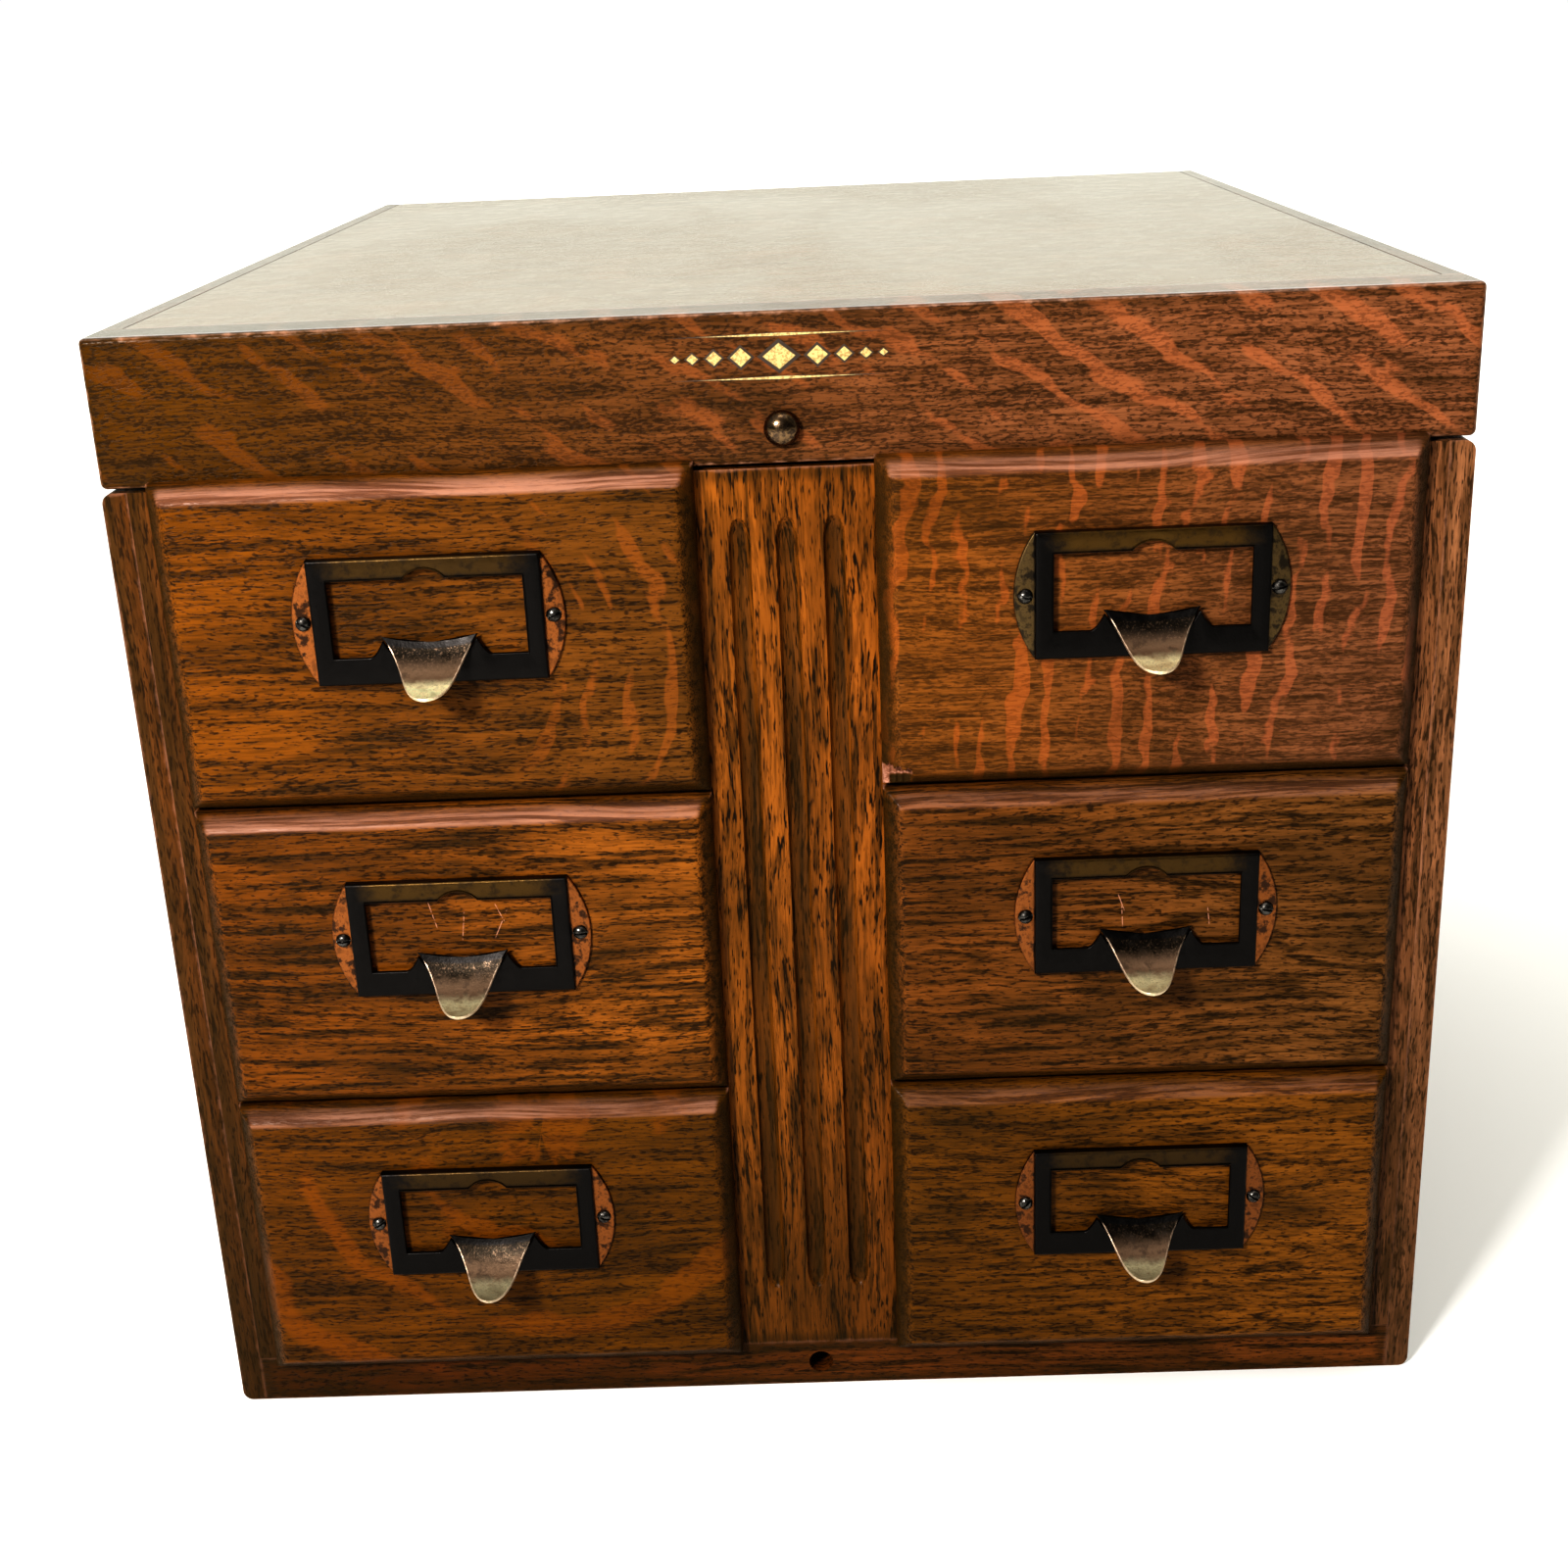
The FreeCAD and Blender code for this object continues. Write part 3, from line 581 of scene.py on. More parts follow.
    def edge_distance(self, mixer: FinishMixer, low: Vector, high: Vector) -> Socket:
        """How far a point is from the nearest edge of its board.

        A point's three distances to the board's pairs of faces are taken. On a face the least is
        about zero, so the middle one is the distance to the nearest edge.
        """
        middle, half = (low + high) / 2, (high - low) / 2
        away = mixer.vectors("ABSOLUTE", mixer.placed(tuple(middle))).outputs[0]
        a, b, c = mixer.parts(mixer.vectors("SUBTRACT", tuple(half), away).outputs[0])
        inner = mixer.maths("MINIMUM", mixer.maths("MAXIMUM", a, b), c)
        return mixer.maths("MAXIMUM", mixer.maths("MINIMUM", a, b), inner)

    def material(self, low: Vector, high: Vector) -> bpy.types.Material:
        """Mixes the finish for one board.

        Args:
            low: The board's lowest corner.
            high: The board's highest corner.

        Returns:
            The board's material.
        """
        mixer = FinishMixer(self.name)
        board = self.grain_axes(mixer)
        x_here = mixer.parts(mixer.placed())[0]
        span = mixer.window(x_here, low.x, high.x)
        ground = mixer.blend(span, self.left_tone, self.right_tone)

        broad = mixer.noise(board, (9.0, 55.0, 40.0), 3.0, 0.55, 0.4)
        tone = mixer.blend(mixer.window(broad, 0.36, 0.66, 0.0, 0.55 * self.streaks), ground, self.dark)
        fine = (1000.0 / self.streak_length_mm, 1000.0 / self.streak_width_mm, 260.0)
        streak = mixer.noise(board, fine, 3.0, 0.6, 0.2)
        tone = mixer.blend(mixer.window(streak, 0.44, 0.66, 0.0, self.streaks), tone, self.dark)
        fibre = mixer.noise(board, (45.0, 1500.0, 700.0), 2.0, 0.6)
        tone = mixer.blend(mixer.window(fibre, 0.40, 0.68, 0.0, self.fibre), tone, self.dark)
        flake: Optional[Socket] = None
        if self.rays is not None:
            flake = self.ray_mask(mixer, low, high)
            pale = mixer.vectors("MULTIPLY", ground, self.ray_gain).outputs[0]
            tone = mixer.blend(mixer.times(flake, self.rays.strength), tone, pale)

        dash = (1000.0 / self.pore_length_mm, 1000.0 / self.pore_width_mm, 900.0)
        pore = mixer.noise(board, dash, 2.0, 0.5)
        crowd = mixer.times(mixer.minus(streak, 0.5), 0.45)
        open_at = 0.68 - 0.28 * self.pore_cover
        pore = mixer.window(mixer.plus(pore, crowd), open_at, open_at + 0.14)
        if flake is not None:
            pore = mixer.times(pore, mixer.minus(1.0, mixer.times(flake, 0.4)))
        tone = mixer.blend(mixer.times(pore, self.pores), tone, self.pore)

        cloud = mixer.noise(board, (14.0, 30.0, 22.0), 3.0, 0.6)
        tone = mixer.blend(mixer.window(cloud, 0.5, 0.72, 0.0, self.smudges), tone, self.smudge_and_shade)
        edge = self.edge_distance(mixer, low, high)
        ragged = mixer.noise(mixer.placed(), (130.0, 130.0, 130.0), 3.0, 0.6)
        # Darker in a ragged band towards every edge of the board.
        edge_reach = mixer.minus(edge, mixer.times(ragged, self.edge_dark_width_mm * MM * 0.8))
        edge_darkening = mixer.window(edge_reach, 0.0, self.edge_dark_width_mm * MM, self.edge_dark, 0.0)
        tone = mixer.blend(edge_darkening, tone, self.smudge_and_shade)
        # A pale ragged band along every edge: partly the finish abraded through, partly a painted highlight
        # on the arrises.
        pale_edge_width = self.edge_wear_and_highlight_width_mm * MM
        pale_edge = mixer.plus(edge, mixer.times(ragged, pale_edge_width * 2.2))
        rub = mixer.window(pale_edge, pale_edge_width * 0.9, pale_edge_width * 2.0, self.edge_wear_and_highlight, 0.0)
        tone = mixer.blend(rub, tone, self.worn_and_highlight_tone)
        if self.scratches:
            scored = mixer.times(self.scratch_mask(mixer), 0.75)
            tone = mixer.blend(scored, tone, self.worn_and_highlight_tone)
        if self.foot_shade > 0.0:
            rise = mixer.parts(mixer.placed())[2]
            tone = mixer.blend(mixer.window(rise, 0.0, 0.24, self.foot_shade, 0.0), tone, self.smudge_and_shade)
        # A negative mark paints shade: in the stile's flutes, on a front's side and bottom bevels and in the
        # hole of the chip.
        mark = mixer.mark()
        painted_shade = mixer.times(mark, -1.0, clamp=True)
        tone = mixer.blend(painted_shade, tone, self.smudge_and_shade)
        # A positive mark brings in raw wood: the real break of the chip, and a painted highlight along a
        # front's top bevel.
        pale_share = mixer.times(mark, 1.0, clamp=True)
        raw = mixer.blend(mixer.window(streak, 0.4, 0.6), (0.40, 0.20, 0.14), (0.17, 0.068, 0.038))
        tone = mixer.blend(pale_share, tone, raw)

        film = mixer.noise(mixer.placed(), (60.0, 60.0, 60.0), 4.0, 0.6)
        rough = mixer.window(film, 0.35, 0.65, self.rough - 0.08, self.rough + 0.1)
        rough = mixer.plus(rough, mixer.times(pore, 0.2), clamp=True)
        crackle = mixer.noise(mixer.placed(), (900.0, 900.0, 900.0), 2.0, 0.6)
        height = mixer.minus(mixer.times(crackle, 0.35), pore)
        height = mixer.minus(height, mixer.times(streak, 0.3))
        normal = mixer.bump(height, self.relief_mm * MM, 0.7)
        coat: Feed = self.gloss
        if self.gloss > 0.0:
            start = high.z - self.gloss_depth_mm * MM
            coat = mixer.window(mixer.parts(mixer.placed())[2], start, start + 0.0006, 0.0, self.gloss)
            dull = mixer.noise(mixer.placed(), (7.0, 3.5, 7.0), 2.0, 0.45, 0.6)
            coat = mixer.times(coat, mixer.window(dull, 0.36, 0.68, 1.0, 0.8))
        return mixer.finish(
            tone,
            rough,
            normal,
            Specular_IOR_Level=self.specular,
            Coat_Weight=coat,
            Coat_Roughness=0.1,
        )


@dataclass(frozen=True)
class PullPatina:
    """Stamped brass gone black in the corners and copper on the lugs, with painted light: a lighter top
    border that is partly the brass's own tone and partly a painted reflection, painted shade at the tongue's
    root, a painted highlight on its rim, and gold at its tip, partly brass shone by fingers and partly a
    painted highlight.
    """

    name: str
    centre: Triple
    seed: float
    lug: Colour
    lug_share: float
    border_share: float
    middle: Colour
    # Gold at the tongue's tip: partly brass shone by fingers, partly a painted highlight.
    gold: Colour
    # Olive of the top border: partly the brass's own tone, partly a painted reflection of light from above.
    border: Colour = (0.076, 0.043, 0.012)
    black: Colour = (0.012, 0.011, 0.0105)
    # Painted shade at the tongue's root.
    root: Colour = (0.014, 0.011, 0.008)
    # Pale tone of the painted highlight on the tongue's rim.
    rim: Colour = (0.62, 0.46, 0.34)

    def material(self) -> bpy.types.Material:
        """Mixes the patina and its painted light by where a point lies on its pull."""
        mixer = FinishMixer(self.name)
        here = mixer.placed(self.centre)
        x, y, z = mixer.parts(here)
        spot = mixer.placed((self.seed, 2.0 * self.seed, 0.0))
        mottle = mixer.noise(spot, (160.0, 160.0, 160.0), 4.0, 0.65)
        speck = mixer.noise(spot, (900.0, 900.0, 900.0), 2.0, 0.6)
        wide = mixer.maths("ABSOLUTE", x)
        out = mixer.times(y, -1.0)
        swing = mixer.times(mixer.minus(mottle, 0.5), 0.012)

        lug = mixer.window(mixer.plus(wide, mixer.times(swing, 0.15)), 0.0357, 0.0364)
        lug = mixer.times(lug, mixer.window(mottle, 0.38, 0.54, 0.1, self.lug_share))
        tone = mixer.blend(lug, self.black, self.lug)
        # The top border is lighter: partly the brass's own olive tone, partly a painted reflection of light
        # from above.
        high = mixer.window(mixer.plus(z, mixer.times(swing, 0.3)), 0.0128, 0.0150)
        centre = mixer.window(mixer.plus(wide, swing), 0.022, 0.034, 1.0, 0.0)
        border = mixer.times(mixer.times(high, centre), self.border_share)
        tone = mixer.blend(border, tone, self.border)

        # Along the tongue: painted shade at the root, a middle tone, then gold at the tip, partly brass shone
        # by fingers and partly a painted highlight.
        reach = mixer.plus(out, mixer.times(swing, 0.35))
        tongue = mixer.window(out, 0.0031, 0.0036)
        skin = mixer.blend(mixer.window(reach, 0.0045, 0.0100), self.root, self.middle)
        skin = mixer.blend(mixer.window(reach, 0.0105, 0.0150), skin, self.gold)
        skin = mixer.blend(mixer.window(speck, 0.52, 0.7, 0.0, 0.35), skin, self.middle)
        # A painted highlight along the tongue's rounded rim.
        skin = mixer.blend(mixer.times(mixer.mark(), 0.6), skin, self.rim)
        tone = mixer.blend(tongue, tone, skin)
        stain = mixer.window(mottle, 0.5, 0.66, 0.0, 0.45)
        stain = mixer.times(stain, mixer.window(reach, 0.012, 0.018, 1.0, 0.35))
        tone = mixer.blend(stain, tone, self.black)

        scuffed = mixer.window(reach, 0.004, 0.016, 0.0, 0.14)
        rough = mixer.plus(mixer.window(mottle, 0.35, 0.65, 0.34, 0.48), scuffed)
        normal = mixer.bump(mixer.plus(mottle, mixer.times(speck, 0.35)), 0.00025, 0.5)
        return mixer.finish(tone, rough, normal, Metallic=1.0)


@dataclass(frozen=True)
class TurnedMetal:
    """Round metal fittings: aged brass or dark steel."""

    name: str
    bright: Colour
    dull: Colour
    rough: float = 0.3

    def material(self) -> bpy.types.Material:
        """Mixes bright and dull metal in small blotches."""
        mixer = FinishMixer(self.name)
        blotch = mixer.noise(mixer.placed(), (420.0, 420.0, 420.0), 3.0, 0.6)
        tone = mixer.blend(mixer.window(blotch, 0.38, 0.6), self.dull, self.bright)
        rough = mixer.window(blotch, 0.35, 0.65, self.rough + 0.12, self.rough - 0.05)
        return mixer.finish(tone, rough, mixer.bump(blotch, 0.00012, 0.5), Metallic=1.0)


@dataclass(frozen=True)
class Gilding:
    """Transferred gilt with a dark outline, abraded thin in places."""

    name: str = "gilt_transfer"

    def material(self) -> bpy.types.Material:
        """Mixes gilt inside each lozenge and a dark line at its rim, which the mark gives."""
        mixer = FinishMixer(self.name)
        rim = mixer.mark()
        rub = mixer.noise(mixer.placed(), (700.0, 700.0, 700.0), 3.0, 0.65)
        gilt = mixer.blend(mixer.window(rub, 0.42, 0.62), (0.50, 0.38, 0.15), (0.27, 0.17, 0.05))
        gilt = mixer.blend(mixer.window(rim, 0.70, 0.78), gilt, (0.025, 0.012, 0.004))
        rough = mixer.window(rub, 0.35, 0.65, 0.35, 0.6)
        return mixer.finish(gilt, rough, mixer.bump(rub, 0.0001, 0.5), Specular_IOR_Level=0.5)


# ---------------------------------------------------------------------------------------------
# Sub-assemblies
# ---------------------------------------------------------------------------------------------


def dress(node: bpy.types.Object, material: bpy.types.Material) -> None:
    """Puts one material in every slot of an object."""
    if not node.material_slots:
        node.data.materials.append(material)
    for slot in node.material_slots:
        slot.material = material


def settle(
    piece: bpy.types.Object, body: str, slot: str, material: bpy.types.Material, *stands_for: str
) -> None:
    """Dresses a new piece, makes it ride on a body and lets it stand for frame nodes.

    Args:
        piece: The new piece.
        body: The body it moves with.
        slot: Not used.
        material: Its finish.
        stands_for: The frame nodes that it replaces.
    """
    dress(piece, material)
    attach(piece, body)
    if stands_for:
        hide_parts(*stands_for)
    LOG.info("%s: %d faces, on %s", piece.name, len(piece.data.polygons), body)


def scatter_scratches(drawer: str, count: int, seed: int) -> tuple[Scratch, ...]:
    """Scatters short scratches over the wood inside a pull's label window.

    Places, leans and lengths are even random draws: across the middle of the pull's box, and in a
    band below its top that lies inside the window.

    Args:
        drawer: The drawer whose pull frames the window.
        count: How many scratches there are.
        seed: What the random draws start from.

    Returns:
        The scratches.
    """
    low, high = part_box(f"{drawer}_pull")
    draw = np.random.default_rng(seed)
    x = low.x + draw.uniform(0.25, 0.75, count) * (high.x - low.x)
    z = high.z - draw.uniform(12.0, 24.0, count) * MM
    lean = draw.uniform(-25.0, 25.0, count)
    length = draw.uniform(5.0, 12.0, count)
    return tuple(Scratch(*row) for row in np.stack([x, z, lean, length], axis=-1).tolist())


@dataclass
class LabelPull:
    """One stamped pull: a raised frame round the label window, two lugs and a dished finger tongue."""

    drawer: str
    patina: PullPatina
    half_frame_mm: float = 35.85
    half_height_mm: float = 20.0
    rise_mm: float = 3.0
    sheet_mm: float = 1.2
    half_window_mm: float = 30.15
    window_low_mm: float = -11.25
    window_high_mm: float = 13.2
    arch_radius_mm: float = 8.5
    arch_rise_mm: float = 3.0
    hump_at_mm: float = 14.5
    hump_rise_mm: float = 5.4
    lug_radius_mm: float = 34.45
    lug_end_mm: float = 42.25
    dish_mm: float = 22.8
    dish_across_mm: float = 55.0
    dish_reach_mm: float = 22.5
    dish_rise_mm: float = 2.7
    reach_mm: float = 20.5

    def window_edge(self, x: np.ndarray, top: bool) -> np.ndarray:
        """The height of the window's edge at each x.

        The top edge is straight, with an arch cut up into it: the part of a circle that stands above
        the line. The bottom edge is straight, with a pointed hump at each side of the tongue, whose
        sides fall away as the square of the distance, and it lies a little higher between them.
        """
        if top:
            circle = np.sqrt(np.clip(self.arch_radius_mm**2 - x**2, 0, None))
            return self.window_high_mm + np.clip(circle - self.arch_radius_mm + self.arch_rise_mm, 0, None)
        away = np.clip(1 - np.abs(np.abs(x) - self.hump_at_mm) / 4.4, 0, 1)
        between = 1.6 * smooth_step(self.hump_at_mm - np.abs(x), -1.0, 2.0)
        return self.window_low_mm + np.maximum(self.hump_rise_mm * away**1.7, between)

    def outlines(self) -> tuple[np.ndarray, np.ndarray]:
        """Matching points round the frame's outer edge and round the window, clockwise from top left."""
        across = np.linspace(-1, 1, 141)
        upright = np.linspace(1, -1, 21)[1:-1]
        inner_x, outer_x = self.half_window_mm * across, self.half_frame_mm * across
        middle = (self.window_high_mm + self.window_low_mm) / 2
        inner_z = middle + upright * (self.window_high_mm - self.window_low_mm) / 2
        outer_z = upright * self.half_height_mm
        edge = np.ones_like(upright)
        outer = np.concatenate(
            [
                np.stack([outer_x, np.full_like(outer_x, self.half_height_mm)], -1),
                np.stack([edge * self.half_frame_mm, outer_z], -1),
                np.stack([-outer_x, np.full_like(outer_x, -self.half_height_mm)], -1),
                np.stack([-edge * self.half_frame_mm, -outer_z], -1),
            ]
        )
        inner = np.concatenate(
            [
                np.stack([inner_x, self.window_edge(inner_x, True)], -1),
                np.stack([edge * self.half_window_mm, inner_z], -1),
                np.stack([-inner_x, self.window_edge(-inner_x, False)], -1),
                np.stack([-edge * self.half_window_mm, inner_z[::-1]], -1),
            ]
        )
        return outer, inner

    def add_frame(self, shell: Shell, centre: np.ndarray) -> None:
        """Adds the raised frame: one closed section of bent sheet carried round the two outlines.

        A point is outer + way * (end * width + inset), where way points from the outer outline to the
        window, and the section gives end, inset and height off the wood.
        """
        outer, inner = self.outlines()
        width = np.linalg.norm(inner - outer, axis=1, keepdims=True)
        way = (inner - outer) / width
        turn = np.linspace(0, np.pi / 2, 5)
        shoulder, lip = 0.95, 0.45
        top = self.rise_mm
        section = [(0.0, -0.05, 0.0), (0.0, 0.0, 0.6)]
        section += [(0.0, shoulder * (1 - math.cos(a)), top - shoulder * (1 - math.sin(a))) for a in turn]
        section += [(0.5, 0.0, top - 0.1)]
        section += [(1.0, -lip * (1 - math.sin(a)), top - lip * (1 - math.cos(a))) for a in turn[::-1]]
        section += [(1.0, 0.0, top - self.sheet_mm), (0.0, self.sheet_mm + 0.4, top - self.sheet_mm)]
        section += [(0.0, self.sheet_mm, 0.0)]
        end, inset, height = np.array(section).T
        flat = outer[:, None, :] + way[:, None, :] * (end * width + inset)[:, :, None]
        rows, columns = len(outer), len(section)
        points = np.stack([flat[..., 0], np.broadcast_to(-height, (rows, columns)), flat[..., 1]], -1)
        shell.add(centre + points * MM, grid_faces(rows, columns, True, True).tolist())

    def add_lug(self, shell: Shell, centre: np.ndarray, side: int) -> None:
        """Adds a lug: at each height a flat section runs from the frame to an arc of a circle."""
        z = np.linspace(-self.half_height_mm, self.half_height_mm, 49)
        arc = self.lug_end_mm - self.lug_radius_mm + np.sqrt(self.lug_radius_mm**2 - z**2)
        start = np.full_like(z, self.half_frame_mm - 1.0)
        turn = np.linspace(0, np.pi / 2, 4)
        ease = 0.5
        section = [(0.0, 0.0, 0.0), (0.0, 0.0, self.sheet_mm)]
        section += [(1.0, -ease * (1 - math.sin(a)), self.sheet_mm - ease * (1 - math.cos(a))) for a in turn]
        section += [(1.0, 0.0, 0.0)]
        end, inset, height = np.array(section).T
        x = start[:, None] + (arc - start)[:, None] * end + inset
        x, out, up = np.broadcast_arrays(side * x, -height, z[:, None])
        shell.add_loops(centre + np.stack([x, out, up], -1) * MM)

    def tongue_outline(self, count: int) -> tuple[np.ndarray, np.ndarray]:
        """How far the tongue reaches and half its width there, from its root to its tip.

        Along the dish the angle goes evenly from the root to the tip, closer near the tip. With s as
        the share of the way seen from the front, half the width is w * sqrt(1 - s) * (1 - 0.12 sin(pi s)).
        """
        share = 1 - (1 - np.linspace(0, 1, count)) ** 1.8
        root = math.acos((self.dish_reach_mm - 1.9) / self.dish_mm)
        tip = math.acos((self.dish_reach_mm - self.reach_mm) / self.dish_mm)
        reach = self.dish_reach_mm - self.dish_mm * np.cos(root + (tip - root) * share)
        seen = share**0.78
        half = self.hump_at_mm * np.sqrt(np.clip(1 - seen, 0, 1)) * (1 - 0.12 * np.sin(np.pi * seen))
        return reach, np.maximum(half, 0.05)

    def add_tongue(self, shell: Shell, centre: np.ndarray) -> None:
        """Adds the tongue: bent sheet on an ellipsoid's inner face, with a rounded rim.

        At a given x the dish is a circle of radius d * sqrt(1 - (x / w)^2), so the height at a reach r
        is c - sqrt(radius^2 - (r0 - r)^2). The sheet is laid half its thickness to either side of
        that surface, and a half circle joins the two skins at the rim.
        """
        reach, half = self.tongue_outline(40)
        share = np.sin(np.linspace(-np.pi / 2, np.pi / 2, 25))

        def dish(x: np.ndarray, out: np.ndarray) -> np.ndarray:
            """Height of the dish at each x and reach."""
            radius2 = self.dish_mm**2 * (1 - (x / self.dish_across_mm) ** 2)
            return self.dish_rise_mm - np.sqrt(np.clip(radius2 - (self.dish_reach_mm - out) ** 2, 1.0, None))

        def surface(x: np.ndarray, out: np.ndarray, off: np.ndarray) -> np.ndarray:
            """The dish's points, moved off it along its normal."""
            step = 0.01
            slope_x = (dish(x + step, out) - dish(x - step, out)) / (2 * step)
            slope_out = (dish(x, out + step) - dish(x, out - step)) / (2 * step)
            length = np.sqrt(1 + slope_x**2 + slope_out**2)
            normal = np.stack([-slope_x, slope_out, np.ones_like(x)], -1) / length[..., None]
            return np.stack([x, -out, dish(x, out)], -1) + normal * off[..., None]

        half_sheet = 0.5
        turn = np.linspace(-np.pi / 2, np.pi / 2, 6)
        top_x = half[:, None] * share[None, :]
        rim = half_sheet * np.cos(turn)[None, :]
        right_x = half[:, None] + rim
        x = np.concatenate([top_x, right_x[:, ::-1], top_x[:, ::-1], -right_x], axis=1)
        lift = np.ones(len(share)) * half_sheet
        off = np.concatenate([lift, half_sheet * np.sin(turn)[::-1], -lift, half_sheet * np.sin(turn)])
        out = np.broadcast_to(reach[:, None], x.shape)
        points = surface(x, out, np.broadcast_to(off, x.shape))
        # The rim's points carry a mark of 1, where the patina paints a highlight.
        flat, bent = np.zeros(len(share)), np.ones(len(turn))
        pale_edge = np.concatenate([flat, bent, flat, bent])
        shell.add_loops(centre + points * MM, np.broadcast_to(pale_edge, x.shape))

    def build(self) -> None:
        """Makes the pull where the frame's own pull is, and lets it stand for that node."""
        node = f"{self.drawer}_pull"
        centre = np.array(self.patina.centre)
        shell = Shell()
        self.add_frame(shell, centre)
        for side in (-1, 1):
            self.add_lug(shell, centre, side)
        self.add_tongue(shell, centre)
        piece = shell.piece(f"{self.drawer}_label_pull", 35.0)
        settle(piece, f"{self.drawer}_drawer", "pull_metal", self.patina.material(), node)


@dataclass
class RoundHeadScrews:
    """The two slotted round-head screws of one pull."""

    drawer: str
    centre: Triple
    finish: bpy.types.Material
    slot_turn: tuple[float, float] = (0.2, -0.3)
    spacing_mm: float = 77.5
    radius_mm: float = 2.4
    dome_mm: float = 1.8
    slot_mm: float = 0.36
    slot_depth_mm: float = 0.95
    lift_mm: float = 1.2

    def add_head(self, shell: Shell, middle: np.ndarray, turn: float) -> None:
        """Adds one head on chords of its circle, so that two of them are the slot's sides.

        The height at (u, t) is dome * sqrt(1 - (r / R)^2) less the slot's depth between its sides,
        with the point at u across the slot and t times the half chord along it.
        """
        side = self.slot_mm
        edges = np.array([0.0, side * 0.98, side, side * 1.35])
        outer = self.radius_mm * np.sin(np.linspace(0.25, np.pi / 2, 12))
        half = np.concatenate([edges, outer])
        u = np.concatenate([-half[::-1], half[1:]])
        t = np.sin(np.linspace(-np.pi / 2, np.pi / 2, 19))
        across, share = np.meshgrid(u, t, indexing="ij")
        along = share * np.sqrt(np.clip(self.radius_mm**2 - across**2, 0, None))
        round2 = np.clip(1 - (across**2 + along**2) / self.radius_mm**2, 0, None)
        dome = self.dome_mm * np.sqrt(round2)
        cut = np.where(np.abs(across) < side * 0.99, self.slot_depth_mm, 0.0)
        height = np.maximum(dome - cut, np.minimum(dome, 0.12))
        x = across * math.cos(turn) - along * math.sin(turn)
        z = across * math.sin(turn) + along * math.cos(turn)
        quads = grid_faces(*across.shape)
        for lift in (height, np.zeros_like(height)):
            shell.add(middle + np.stack([x, -lift, z], -1) * MM, quads.tolist())

    def build(self) -> None:
        """Makes both heads on the lugs' faces."""
        shell = Shell()
        for side, turn in zip((-1, 1), self.slot_turn):
            offset = np.array([side * self.spacing_mm / 2, -self.lift_mm, 0.0]) * MM
            self.add_head(shell, np.array(self.centre) + offset, math.pi / 2 + turn)
        piece = shell.piece(f"{self.drawer}_round_head_screws", 50.0)
        settle(piece, f"{self.drawer}_drawer", "screw_steel", self.finish, f"{self.drawer}_pull_screws")


